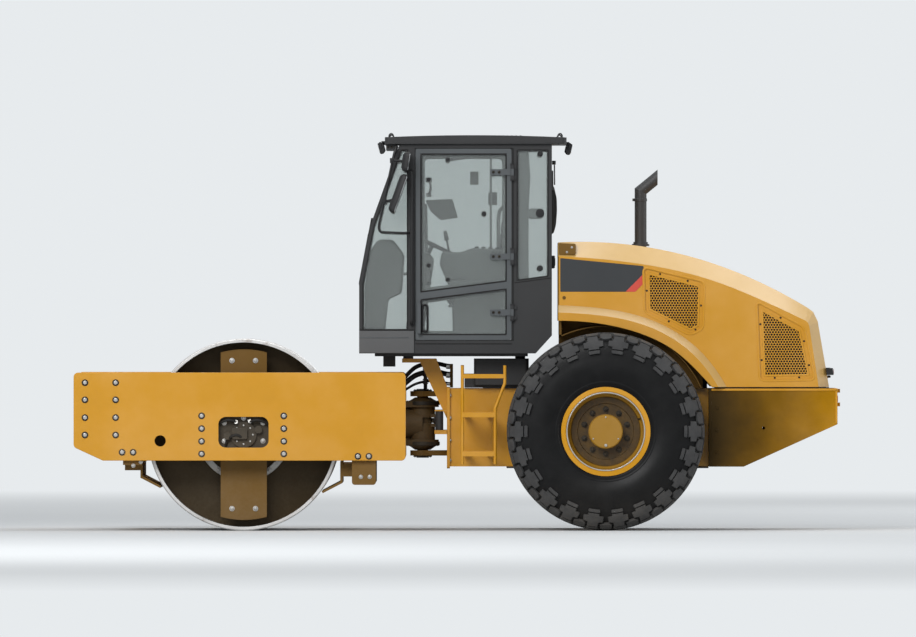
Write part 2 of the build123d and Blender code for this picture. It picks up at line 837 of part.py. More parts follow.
with BuildPart() as ladders:
    with BuildLine() as front_rail:
        Line((ladder_front, -ladder_y, ladder_foot), (ladder_front, -ladder_y, ladder_head))
    with BuildSketch(Plane(origin=front_rail.line @ 0, z_dir=front_rail.line % 0)):
        Circle(ladder_tube)
    sweep(path=front_rail.line)
    with BuildLine() as rear_rail:
        Polyline(
            (ladder_front + ladder_width, -ladder_y, ladder_foot),
            (ladder_front + ladder_width, -ladder_y, ladder_foot + 448),
            (ladder_front + ladder_width + 78, -ladder_y, ladder_foot + 650),
            (ladder_front + ladder_width + 78, -ladder_y, ladder_head),
        )
    with BuildSketch(Plane(origin=rear_rail.line @ 0, z_dir=rear_rail.line % 0)):
        Circle(ladder_tube)
    sweep(path=rear_rail.line, transition=Transition.RIGHT)
    with Locations((ladder_front, -ladder_y, ladder_foot + 706)):
        Box(ladder_width + 78, 26, 34, align=(Align.MIN, Align.CENTER, Align.CENTER))
    for step in (0, 1):
        with Locations((ladder_front, -ladder_y - ladder_tube, ladder_foot + 84 + step * step_pitch)):
            Box(ladder_width, step_depth, step_height, align=(Align.MIN, Align.MIN, Align.CENTER))
        for arm_x in (ladder_front + 30, ladder_front + ladder_width - 50):
            with Locations((arm_x, -rail_y - rail_thick, ladder_foot + 84 + step * step_pitch)):
                Box(40, ladder_y - rail_y - rail_thick, 24, align=(Align.CENTER, Align.MAX, Align.CENTER))
    mirror(about=Plane.XZ)


# Cab. The windscreen's line is shared by the side walls, the screen and the side panes.


def screen_line(inset, foot_z, head_z):
    """The windscreen's side line from foot to head, moved back by inset."""
    lean = (screen_top_dx - screen_bend_dx) / (roof_bottom - screen_bend_z)
    head_x = cab_front_x + screen_bend_dx + (head_z - screen_bend_z) * lean + inset
    return [
        (cab_front_x + inset, foot_z),
        (cab_front_x + inset, screen_knee_z),
        (cab_front_x + screen_bend_dx + inset, screen_bend_z),
        (head_x, head_z),
    ]


pillar_front = door_front - pillar_width
pane_front = door_rear + 35
pane_rear = cab_rear_x - 26
pane_foot = door_bar_z + 147
pane_rise = 35
rear_corner_dx = 130
rear_corner_dz = 144

front_pane = screen_line(screen_post, screen_foot_z, window_top) + [
    (pillar_front, window_top),
    (pillar_front, screen_foot_z),
]
rear_pane = [
    (pane_front, pane_foot),
    (pane_front, window_top),
    (pane_rear, window_top),
    (pane_rear, pane_foot + pane_rise),
]

with BuildPart() as cab_side_left:
    with BuildSketch(Plane.XZ.offset(cab_half - cab_wall)):
        with BuildLine():
            Polyline(
                *screen_line(0, cab_floor_z, roof_bottom),
                (cab_rear_x, roof_bottom),
                (cab_rear_x, cab_floor_z + rear_corner_dz),
                (cab_rear_x - rear_corner_dx, cab_floor_z),
                close=True,
            )
        make_face()
        with BuildLine():
            Polyline(*front_pane, close=True)
        make_face(mode=Mode.SUBTRACT)
        with BuildLine():
            Polyline(*rear_pane, close=True)
        make_face(mode=Mode.SUBTRACT)
        with Locations((door_front, door_foot)):
            Rectangle(door_rear - door_front, door_head - door_foot, align=Align.MIN, mode=Mode.SUBTRACT)
    extrude(amount=cab_wall)

hinge_heights = (door_foot + 226, door_foot + 674, door_foot + 1350)
knuckle = 26

with BuildPart() as hinge_posts:
    for hinge_z in hinge_heights:
        for half in (-1, 1):
            with Locations((door_rear, -hinge_y, hinge_z + half * (knuckle + 16))):
                Cylinder(hinge_radius, 28)
            with Locations((door_rear + 8, -cab_half, hinge_z + half * (knuckle + 16))):
                Box(26, hinge_y - cab_half - 4, 28, align=(Align.MIN, Align.MAX, Align.CENTER))
        with Locations((door_rear, -hinge_y, hinge_z)):
            Cylinder(hinge_pin_radius, 2 * knuckle + 60)
    mirror(about=Plane.XZ)

with BuildPart() as cab_side_right:
    mirror(cab_side_left.part, about=Plane.XZ)

inner_half = cab_half - cab_wall

with BuildPart() as cab_front:
    with Locations((cab_front_x, 0, cab_floor_z)):
        Box(40, 2 * inner_half, screen_foot_z - cab_floor_z + 30, align=from_front)
    head_line = screen_line(0, screen_foot_z, roof_bottom)
    foot_line = screen_line(0, screen_foot_z, roof_bottom - 88)
    with BuildSketch(Plane.XZ.offset(-inner_half)):
        with BuildLine():
            Polyline(
                foot_line[3],
                head_line[3],
                (head_line[3][0] + 40, head_line[3][1]),
                (foot_line[3][0] + 40, foot_line[3][1]),
                close=True,
            )
        make_face()
    extrude(amount=2 * inner_half)

with BuildPart() as cab_rear:
    with Locations((cab_rear_x, 0, cab_floor_z + rear_corner_dz)):
        Box(
            40,
            2 * inner_half,
            pane_foot - cab_floor_z - rear_corner_dz + 20,
            align=(Align.MAX, Align.CENTER, Align.MIN),
        )
    with Locations((cab_rear_x, 0, roof_bottom)):
        Box(40, 2 * inner_half, 60, align=(Align.MAX, Align.CENTER, Align.MAX))

with BuildPart() as cab_floor:
    with Locations((cab_front_x + 40, 0, cab_floor_z)):
        Box(cab_length - 174, 2 * inner_half, 40, align=from_front)
    with Locations((cab_front_x + 125, 0, cab_floor_z)):
        Box(1227, 1400, 23, align=(Align.MIN, Align.CENTER, Align.MAX))
    with BuildSketch(Plane.XZ.offset(-inner_half)):
        with BuildLine():
            Polyline(
                (cab_rear_x - 134, cab_floor_z + 40),
                (cab_rear_x - rear_corner_dx, cab_floor_z),
                (cab_rear_x, cab_floor_z + rear_corner_dz),
                (cab_rear_x - 40, cab_floor_z + rear_corner_dz),
                (cab_rear_x - 140, cab_floor_z + 40),
                close=True,
            )
        make_face()
    extrude(amount=2 * inner_half)
    # Rubber mounts under the floor, and the air box behind the front skirt.
    for mount_x in (arm_front + 49, cradle_front + 372):
        with Locations((mount_x, -arm_y, arm_top), (mount_x, arm_y, arm_top)):
            Cylinder(40, 20, align=on_floor)
    with Locations((cab_front_x + 192, 0, cab_floor_z - 22)):
        Box(96, 900, 84, align=(Align.MIN, Align.CENTER, Align.MAX))

roof_half = cab_half + roof_overhang
roof_front = cab_front_x + 206
roof_rear = cab_rear_x + 118

with BuildPart() as cab_roof:
    with BuildSketch(Plane.XZ.offset(-roof_half)):
        with BuildLine():
            Polyline(
                (roof_front, roof_bottom + 56),
                (roof_front, roof_bottom),
                (roof_rear, roof_bottom),
                (roof_rear, roof_bottom + 54),
            )
            ThreePointArc(
                (roof_rear, roof_bottom + 54),
                ((roof_front + roof_rear) / 2, roof_bottom + 72),
                (roof_front, roof_bottom + 56),
            )
        make_face()
    extrude(amount=2 * roof_half)
    fillet(edges().filter_by(Axis.Z), 40)
    with Locations((roof_front + 10, 0, roof_bottom)):
        Box(88, 2 * roof_half - 100, 44, align=(Align.MIN, Align.CENTER, Align.MAX))

with BuildPart() as windscreen:
    screen_outer = screen_line(8, screen_foot_z + 30, roof_bottom - 88)
    screen_inner = screen_line(8 + glass_thick, screen_foot_z + 30, roof_bottom - 88)
    with BuildSketch(Plane.XZ.offset(-inner_half)):
        with BuildLine():
            Polyline(*screen_outer, *reversed(screen_inner), close=True)
        make_face()
    extrude(amount=2 * inner_half)

with BuildPart() as side_glass:
    with BuildSketch(Plane.XZ.offset(glass_y)):
        with BuildLine():
            Polyline(*front_pane, close=True)
        make_face()
        with BuildLine():
            Polyline(*rear_pane, close=True)
        make_face()
    extrude(amount=glass_thick)
    mirror(about=Plane.XZ)

with BuildPart() as rear_glass:
    with Locations((cab_rear_x - 24, 0, pane_foot + 20)):
        Box(glass_thick, 2 * inner_half, roof_bottom - 60 - pane_foot - 20, align=from_front)

# Work lamps under the roof's corners: a short foot on the roof's edge and a round head.
with BuildPart() as lamps:
    for lamp_y in (-620, 620):
        with Locations((roof_front, lamp_y, roof_bottom + 14)):
            Box(30, 60, 24, align=(Align.MAX, Align.CENTER, Align.CENTER))
        with Locations(Location((roof_front - 28, lamp_y, roof_bottom - 26), (0, -15, 0))):
            Box(52, 150, 96)
        with Locations((roof_rear, lamp_y, roof_bottom + 10)):
            Box(22, 60, 20, align=(Align.MIN, Align.CENTER, Align.CENTER))
        with Locations(Location((roof_rear + 18, lamp_y, roof_bottom - 34), (0, 12, 0))):
            Box(44, 150, 86)

mirror_y = cab_half + 130
mirror_tube = 10

with BuildPart() as mirrors:
    with BuildLine() as guard:
        FilletPolyline(
            (cab_front_x + 300, -cab_half - 14, roof_bottom - 8),
            (cab_front_x + 276, -mirror_y, roof_bottom - 96),
            (cab_front_x + 160, -mirror_y, screen_bend_z + 5),
            (cab_front_x + 176, -mirror_y, screen_bend_z - 49),
            (cab_front_x + 340, -mirror_y, screen_bend_z - 55),
            (pillar_front + 27, -cab_half - 5.5, screen_bend_z - 55),
            radius=24,
        )
    with BuildSketch(Plane(origin=guard.line @ 0, z_dir=guard.line % 0)):
        Circle(mirror_tube)
    sweep(path=guard.line, transition=Transition.RIGHT)
    with Locations(Location((cab_front_x + 308, -mirror_y, roof_bottom - 392), (0, 20, 0))):
        Box(56, 190, 330)
    with Locations(Location((cab_front_x + 372, -mirror_y, roof_bottom - 140), (0, 8, 0))):
        Box(56, 170, 164)
    for clamp_dx, clamp_drop in ((192, 460), (260, 132)):
        with Locations((cab_front_x + clamp_dx, -mirror_y, roof_bottom - clamp_drop)):
            Box(104, 30, 26, align=(Align.MIN, Align.CENTER, Align.CENTER))
    mirror(about=Plane.XZ)

# Grab rails beside the doors
grab_x = door_front - 27
grab_out = 56

with BuildPart() as grab_rails:
    with BuildLine() as grab_line:
        FilletPolyline(
            (grab_x, -cab_half, door_foot + 134),
            (grab_x, -cab_half - grab_out, door_foot + 134),
            (grab_x, -cab_half - grab_out, door_head - 190),
            (grab_x, -cab_half, door_head - 190),
            radius=36,
        )
    with BuildSketch(Plane(origin=grab_line.line @ 0, z_dir=grab_line.line % 0)):
        Circle(13)
    sweep(path=grab_line.line, transition=Transition.RIGHT)
    mirror(about=Plane.XZ)

seat_x = cab_front_x + 912
seat_z = cab_floor_z + 40

with BuildPart() as seat:
    with Locations((seat_x, 0, seat_z)):
        Box(320, 360, 344, align=on_floor)
    with Locations((seat_x, 0, seat_z + 344)):
        Box(500, 520, 150, align=on_floor)
    with Locations(Location((seat_x + 215, 0, seat_z + 480), (0, 8, 0))):
        Box(110, 500, 640, align=on_floor)
    for side in (-1, 1):
        with Locations((seat_x, side * 320, seat_z + 624)):
            Box(420, 90, 60, align=on_floor)
    with Locations((seat_x + 170, 0, seat_z + 654)):
        Box(60, 640, 40)

with BuildPart() as console:
    with BuildSketch(Plane.XZ.offset(-130)):
        with BuildLine():
            Polyline(
                (cab_front_x + 372, seat_z),
                (cab_front_x + 372, seat_z + 164),
                (cab_front_x + 462, seat_z + 724),
                (cab_front_x + 542, seat_z + 784),
                (cab_front_x + 602, seat_z + 724),
                (cab_front_x + 522, seat_z + 164),
                (cab_front_x + 522, seat_z),
                close=True,
            )
        make_face()
    extrude(amount=260)
    wheel_spot = Location((cab_front_x + 587, 0, seat_z + 834), (0, 25, 0))
    with Locations(wheel_spot):
        Torus(180, 16)
        Box(26, 350, 16)
        Box(350, 26, 16)
        Cylinder(40, 40)
    with Locations(wheel_spot):
        Cylinder(18, 90, align=(Align.CENTER, Align.CENTER, Align.MAX))


# Doors

door_face = cab_half + 4
door_back = door_face - cab_wall
opening_front = door_front + door_gap + door_band
opening_rear = door_rear - door_gap - door_band
opening_foot = door_foot + door_gap + door_band
opening_head = door_head - door_gap - door_band
upper_pane = [
    (opening_front, door_bar_z + door_bar),
    (opening_front, opening_head),
    (opening_rear, opening_head),
    (opening_rear, door_bar_z + door_bar + door_rise),
]
lower_pane = [
    (opening_front, opening_foot),
    (opening_front, door_bar_z),
    (opening_rear, door_bar_z + door_rise),
    (opening_rear, opening_foot),
]

with BuildPart() as door_left:
    with BuildSketch(Plane.XZ.offset(door_back)):
        with Locations((door_front + door_gap, door_foot + door_gap)):
            Rectangle(
                door_rear - door_front - 2 * door_gap,
                door_head - door_foot - 2 * door_gap,
                align=Align.MIN,
            )
        fillet(vertices(), 16)
        with BuildLine():
            Polyline(*upper_pane, close=True)
        make_face(mode=Mode.SUBTRACT)
        with BuildLine():
            Polyline(*lower_pane, close=True)
        make_face(mode=Mode.SUBTRACT)
    extrude(amount=cab_wall)
    for hinge_z in hinge_heights:
        with Locations((door_rear, -hinge_y, hinge_z)):
            Cylinder(hinge_radius, 2 * knuckle)
        with Locations((door_rear - 5, -door_face, hinge_z)):
            Box(174, 12, 2 * knuckle - 4, align=(Align.MAX, Align.MAX, Align.CENTER))
        with Locations((door_rear, -hinge_y, hinge_z)):
            Cylinder(hinge_pin_radius + run_gap, 2 * knuckle, mode=Mode.SUBTRACT)
    for grip_z in (door_foot + 70, door_foot + 286):
        with Locations((opening_front - 10, -door_face, grip_z)):
            Box(24, 42, 20, align=(Align.CENTER, Align.MAX, Align.CENTER))
    with Locations((opening_front - 10, -door_face - 30, door_foot + 178)):
        Box(26, 20, 240, align=(Align.CENTER, Align.MAX, Align.CENTER))

with BuildPart() as door_glass_left:
    with BuildSketch(Plane.XZ.offset(glass_y)):
        with BuildLine():
            Polyline(*upper_pane, close=True)
        make_face()
        with BuildLine():
            Polyline(*lower_pane, close=True)
        make_face()
    extrude(amount=glass_thick)

with BuildPart() as door_right:
    mirror(door_left.part, about=Plane.XZ)

with BuildPart() as door_glass_right:
    mirror(door_glass_left.part, about=Plane.XZ)


# Hood. Its outline runs from behind the cab down to the tail, and its side has an arch for the tyre.

hood_length = hood_rear - hood_front


def along(share):
    """A place along the hood, as a share of its length from the front."""
    return hood_front + share * hood_length


# Heights along the hood's middle and along the crease where its sides begin, and both rear corners
hood_ridge = [(0, 2306), (0.285, 2282), (0.563, 2144), (0.744, 1988), (0.92, 1783)]
hood_ridge_corner = [(0.942, 1748), (0.9585, 1672), (1, hood_bottom)]
hood_crease = [(0, 2196), (0.285, 2139), (0.563, 2005), (0.744, 1850), (0.913, 1678)]
hood_crease_corner = [(0.9215, 1662), (0.926, 1636), (0.961, hood_bottom)]


def hood_section(distance, curve, corner, inset):
    """A lengthwise section of the hood, at a distance to the left of its middle."""
    with BuildSketch(Plane.XZ.offset(distance)) as section:
        with BuildLine():
            Spline(*[(along(share), height - inset) for share, height in curve])
            Polyline(
                (along(curve[-1][0]), curve[-1][1] - inset),
                (along(corner[0][0]) - inset, corner[0][1] - inset / 2),
                (along(corner[1][0]) - inset, corner[1][1]),
                (along(corner[2][0]) - inset, corner[2][1]),
                (hood_front, hood_bottom),
                (hood_front, curve[0][1] - inset),
            )
        make_face()
    return section.sketch


def hood_block(inset):
    """The hood's outer block with sloped shoulders, or its hollow when an inset is given."""
    ridge_half = hood_half - hood_shoulder
    with BuildPart() as block:
        extrude(hood_section(-ridge_half, hood_ridge, hood_ridge_corner, inset), amount=2 * ridge_half)
        for side in (-1, 1):
            ridge = hood_section(side * ridge_half, hood_ridge, hood_ridge_corner, inset)
            crease = hood_section(side * (hood_half - inset), hood_crease, hood_crease_corner, inset)
            loft([ridge, crease], ruled=True)
    return block.part


hood_hollow = hood_block(hood_skin)

# The tyre's arch has a lip that stands out from the hood, with a sloped upper face.
with BuildPart() as flare:
    with BuildSketch(Plane.XZ.offset(hood_half - 20)):
        with BuildLine():
            Spline(
                (hood_front - 120, 1806),
                (along(0.12), 1787),
                (along(0.331), 1694),
                (along(0.496), 1490),
                (along(0.594), 1246),
                (along(0.66), 950),
            )
            Polyline((along(0.66), 950), (hood_front - 120, 950), (hood_front - 120, 1806))
        make_face()
    extrude(amount=flare_reach + 20)
    chamfer(edges().group_by(Axis.Y)[0].sort_by(SortBy.LENGTH)[-1], flare_reach - 4)

with BuildPart() as hood_shell:
    add(hood_block(0))
    add(flare.part)
    mirror(flare.part, about=Plane.XZ)
    with Locations((hood_front, 0, hood_bottom)):
        Box(400, 4 * hood_half, 2400, align=(Align.MAX, Align.CENTER, Align.CENTER), mode=Mode.SUBTRACT)
        Box(6000, 4 * hood_half, 1200, align=(Align.CENTER, Align.CENTER, Align.MAX), mode=Mode.SUBTRACT)
    # The hollow is also cut a little lower and further forward, so the hood is open there.
    add(hood_hollow, mode=Mode.SUBTRACT)
    add(hood_hollow.moved(Location((-20, 0, -20))), mode=Mode.SUBTRACT)
    with BuildSketch(Plane.XZ.offset(-hood_half - flare_reach)):
        with BuildLine():
            Spline(
                (hood_front - 1, 1678),
                (along(0.12), 1665),
                (along(0.233), 1621),
                (along(0.346), 1539),
                (along(0.421), 1450),
                (along(0.489), 1327),
                (along(0.567), hood_bottom - 1),
            )
            Polyline(
                (along(0.567), hood_bottom - 1),
                (hood_front - 1, hood_bottom - 1),
                (hood_front - 1, 1678),
            )
        make_face()
        with BuildLine():
            Polyline(
                (along(0.319), 2096),
                (along(0.323), 1752),
                (along(0.489), 1572),
                (along(0.533), 1621),
                (along(0.536), 1982),
                close=True,
            )
        make_face()
        with BuildLine():
            Polyline(
                (along(0.737), 1818),
                (along(0.748), hood_bottom + 58),
                (along(0.942), hood_bottom + 66),
                (along(0.904), 1620),
                close=True,
            )
        make_face()
    extrude(amount=2 * (hood_half + flare_reach), mode=Mode.SUBTRACT)
    # Rear grille opening
    with Locations((hood_rear, 0, hood_bottom + 270)):
        Box(300, 920, 300, mode=Mode.SUBTRACT)
    # Round hole for the exhaust stack
    with Locations((hood_front + 668, 300, 2260)):
        Cylinder(48 + touch_gap, 200, mode=Mode.SUBTRACT)
    for side in (-1, 1):
        with BuildSketch(Plane.XZ.offset(side * (hinge_post_y + 64) - 15)):
            with Locations((hood_hinge_x, hood_hinge_z)):
                Circle(28)
                Rectangle(56, 62, align=(Align.CENTER, Align.MIN))
                Circle(hood_pin_radius + run_gap, mode=Mode.SUBTRACT)
        extrude(amount=30)

grille_thick = 6
grille_y = hood_half - hood_skin - grille_thick
rear_slope = (hood_rear - along(0.9585)) / (1672 - hood_bottom)


def rear_skin_x(height, depth):
    """X of the hood's rear face at a height, moved forward by a depth."""
    return hood_rear - (height - hood_bottom) * rear_slope - depth


with BuildPart() as grilles:
    with BuildSketch(Plane.XZ.offset(grille_y)):
        with BuildLine():
            Polyline(
                (along(0.31), 2110),
                (along(0.314), 1736),
                (along(0.486), 1551),
                (along(0.544), 1606),
                (along(0.547), 1994),
                close=True,
            )
        make_face()
        with BuildLine():
            Polyline(
                (along(0.725), 1834),
                (along(0.737), hood_bottom + 38),
                (along(0.948), hood_bottom + 44),
                (along(0.912), 1638),
                close=True,
            )
        make_face()
    extrude(amount=grille_thick)
    mirror(about=Plane.XZ)
    low = hood_bottom + 96
    high = hood_bottom + 444
    with BuildSketch(Plane.XZ.offset(-480)):
        with BuildLine():
            Polyline(
                (rear_skin_x(low, hood_skin + touch_gap), low),
                (rear_skin_x(high, hood_skin + touch_gap), high),
                (rear_skin_x(high, hood_skin + touch_gap + grille_thick), high),
                (rear_skin_x(low, hood_skin + touch_gap + grille_thick), low),
                close=True,
            )
        make_face()
    extrude(amount=960)

exhaust_x = hood_front + 668
exhaust_y = 300
exhaust_radius = 48

with BuildPart() as exhaust:
    with BuildLine() as exhaust_path:
        Polyline(
            (exhaust_x, exhaust_y, 2210),
            (exhaust_x, exhaust_y, 2722),
            (exhaust_x + 220, exhaust_y, 2902),
        )
    with BuildSketch(Plane(origin=exhaust_path.line @ 0, z_dir=exhaust_path.line % 0)):
        Circle(exhaust_radius)
    sweep(path=exhaust_path.line, transition=Transition.RIGHT)
    with BuildSketch(Plane(origin=exhaust_path.line @ 1, z_dir=-(exhaust_path.line % 1))):
        Circle(exhaust_radius - 5)
    extrude(amount=230, mode=Mode.SUBTRACT)
    with Locations((exhaust_x + 137, exhaust_y, 2722)):
        Box(400, 200, 600, align=(Align.MIN, Align.CENTER, Align.CENTER), mode=Mode.SUBTRACT)

lamp_low = hood_bottom + 96
lamp_high = hood_bottom + 152

with BuildPart() as tail_lamps:
    for lamp_y in (-640, 640):
        with BuildSketch(Plane.XZ.offset(lamp_y - 45)):
            with BuildLine():
                Polyline(
                    (rear_skin_x(lamp_low, -touch_gap), lamp_low),
                    (hood_rear + 36, lamp_low),
                    (hood_rear + 30, lamp_high),
                    (rear_skin_x(lamp_high, -touch_gap), lamp_high),
                    close=True,
                )
            make_face()
        extrude(amount=90)


# Hand over

pieces = {
    "side_plate_left": side_plate_left,
    "side_plate_right": side_plate_right,
    "front_beam": front_beam,
    "rear_beam": rear_beam,
    "drum_motors": drum_motors,
    "scraper_front": scraper_front,
    "scraper_rear": scraper_rear,
    "drum": drum,
    "drive_bars": drive_bars,
    "isolators": isolators,
    "hitch_casting": hitch_casting,
    "hitch_ears": hitch_ears,
    "steer_barrel_left": steer_barrel_left,
    "steer_rod_left": steer_rod_left,
    "steer_barrel_right": steer_barrel_right,
    "steer_rod_right": steer_rod_right,
    "bulkhead": bulkhead,
    "rails": rails,
    "belly_plate": belly_plate,
    "tail_cross": tail_cross,
    "tail_sides": tail_sides,
    "tail_pan": tail_pan,
    "axle_housing": axle_housing,
    "engine_block": engine_block,
    "radiator": radiator,
    "firewall": firewall,
    "wheel_arches": wheel_arches,
    "tyre_left": tyre_left,
    "tyre_right": tyre_right,
    "rim_left": rim_left,
    "rim_right": rim_right,
    "cab_support": cab_support,
    "cab_cradle": cab_cradle,
    "ladders": ladders,
    "cab_side_left": cab_side_left,
    "hinge_posts": hinge_posts,
    "cab_side_right": cab_side_right,
    "cab_front": cab_front,
    "cab_rear": cab_rear,
    "cab_floor": cab_floor,
    "cab_roof": cab_roof,
    "windscreen": windscreen,
    "side_glass": side_glass,
    "rear_glass": rear_glass,
    "lamps": lamps,
    "mirrors": mirrors,
    "grab_rails": grab_rails,
    "seat": seat,
    "console": console,
    "door_left": door_left,
    "door_glass_left": door_glass_left,
    "door_right": door_right,
    "door_glass_right": door_glass_right,
    "hood_shell": hood_shell,
    "grilles": grilles,
    "exhaust": exhaust,
    "tail_lamps": tail_lamps,
}
for piece_name, piece in pieces.items():
    piece.part.label = piece_name
    export_step(piece.part, f"parts/{piece_name}.step")
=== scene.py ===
"""The single drum road roller, dressed for a product picture.

Metres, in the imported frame: X runs from the drum to the engine, Y to the machine's right, Z up.
The camera looks along +Y at the machine's left side.
"""

import math
import random

import bmesh
import bpy
from mathutils import Matrix, Vector


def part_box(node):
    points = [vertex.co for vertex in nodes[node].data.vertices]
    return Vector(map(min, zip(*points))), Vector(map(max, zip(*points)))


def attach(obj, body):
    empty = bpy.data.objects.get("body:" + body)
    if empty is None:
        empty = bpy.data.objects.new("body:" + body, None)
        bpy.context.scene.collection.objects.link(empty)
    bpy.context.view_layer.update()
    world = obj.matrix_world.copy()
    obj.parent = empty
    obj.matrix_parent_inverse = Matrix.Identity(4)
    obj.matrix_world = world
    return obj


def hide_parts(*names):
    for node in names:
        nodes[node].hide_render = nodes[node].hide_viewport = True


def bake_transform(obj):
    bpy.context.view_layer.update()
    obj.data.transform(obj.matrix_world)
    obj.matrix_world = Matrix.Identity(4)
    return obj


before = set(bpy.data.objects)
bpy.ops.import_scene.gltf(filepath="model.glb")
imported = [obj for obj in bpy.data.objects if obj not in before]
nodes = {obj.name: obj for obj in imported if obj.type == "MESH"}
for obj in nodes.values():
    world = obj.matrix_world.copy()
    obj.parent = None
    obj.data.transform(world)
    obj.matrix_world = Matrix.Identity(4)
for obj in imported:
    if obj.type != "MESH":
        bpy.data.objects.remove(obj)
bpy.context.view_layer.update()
random.seed(7)

SIDES = (-1, 1)
SIDE_WORDS = ((-1, "left"), (1, "right"))
UP = Vector((0, 0, 1))

# Places that several pieces share, read from the frame
drum_low, drum_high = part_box("drum")
drum_axis = (drum_low + drum_high) / 2
tyre_low, tyre_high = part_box("tyre_left")
wheel_axis = (tyre_low + tyre_high) / 2
wheel_out = abs(wheel_axis.y)
tyre_radius = (tyre_high.z - tyre_low.z) / 2
plate_low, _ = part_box("side_plate_left")
plate_face = -plate_low.y
cab_low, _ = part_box("cab_side_left")
cab_face = -cab_low.y
roof_low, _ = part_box("cab_roof")
hood_low, hood_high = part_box("hood_shell")

# Places that several pieces share, as the part's source has them
hood_face = 0.780
drum_head_face = 0.730
hitch_x = -0.284
cab_floor = 1.456
mirror_out = 0.930
lamp_out = 0.620
hinge_x = 0.435
hinge_heights = (2.868, 2.192, 1.744)


# Shader trees


class Shader:
    """A node tree with short ways to add a node and to join two sockets."""

    def __init__(self, tree):
        self.tree = tree

    def node(self, kind, **settings):
        made = self.tree.nodes.new(kind)
        for setting, value in settings.items():
            setattr(made, setting, value)
        return made

    def join(self, out_socket, in_socket):
        self.tree.links.new(out_socket, in_socket)

    def give(self, socket, value):
        """Gives a socket a number, a colour of three parts, or what another socket puts out."""
        if isinstance(value, (int, float)):
            socket.default_value = value
        elif isinstance(value, tuple):
            socket.default_value = (*value, 1.0)
        else:
            self.join(value, socket)

    def fill(self, made, **values):
        """Gives a node's inputs by name; underscores stand for the spaces in their names."""
        for name, value in values.items():
            self.give(made.inputs[name.replace("_", " ")], value)
        return made

    def place(self, output="Object"):
        """Where a point lies in the machine, or which way its face looks."""
        return self.node("ShaderNodeTexCoord").outputs[output]

    def apart(self, vector):
        """The three parts of a vector."""
        return self.fill(self.node("ShaderNodeSeparateXYZ"), Vector=vector).outputs

    def math(self, operation, first, second=None, clamp=False):
        made = self.node("ShaderNodeMath", operation=operation, use_clamp=clamp)
        for socket, value in zip(made.inputs, (first, second)):
            if value is not None:
                self.give(socket, value)
        return made.outputs[0]

    def spread(self, value, low, high, to_low=0.0, to_high=1.0):
        made = self.node("ShaderNodeMapRange")
        self.fill(made, Value=value, From_Min=low, From_Max=high, To_Min=to_low, To_Max=to_high)
        return made.outputs["Result"]

    def noise(self, coords, scale, detail=4.0, rough=0.55):
        made = self.node("ShaderNodeTexNoise")
        return self.fill(made, Vector=coords, Scale=scale, Detail=detail, Roughness=rough).outputs["Fac"]

    def waves(self, scale, direction):
        made = self.node("ShaderNodeTexWave", bands_direction=direction)
        return self.fill(made, Vector=self.place(), Scale=scale).outputs["Fac"]

    def mix(self, factor, first, second):
        made = self.node("ShaderNodeMix", data_type="RGBA")
        for index, value in ((0, factor), (6, first), (7, second)):
            self.give(made.inputs[index], value)
        return made.outputs[2]

    def relief(self, height, distance, **more):
        return self.fill(self.node("ShaderNodeBump"), Height=height, Distance=distance, **more).outputs[0]

    def choose(self, factor, first, second):
        """One of two surfaces, as the material's surface."""
        made = self.node("ShaderNodeMixShader")
        for index, value in enumerate((factor, first, second)):
            self.join(value, made.inputs[index])
        self.join(made.outputs[0], self.tree.nodes["Material Output"].inputs["Surface"])


def new_group(name, inputs, outputs):
    """A shader node group; inputs are (name, kind, default) and outputs are (name, kind)."""
    tree = bpy.data.node_groups.new(name, "ShaderNodeTree")
    for socket_name, kind, default in inputs:
        socket = tree.interface.new_socket(socket_name, in_out="INPUT", socket_type=kind)
        socket.default_value = default
    for socket_name, kind in outputs:
        tree.interface.new_socket(socket_name, in_out="OUTPUT", socket_type=kind)
    shader = Shader(tree)
    return shader, shader.node("NodeGroupInput").outputs, shader.node("NodeGroupOutput")


FLOAT = "NodeSocketFloat"
COLOUR = "NodeSocketColor"


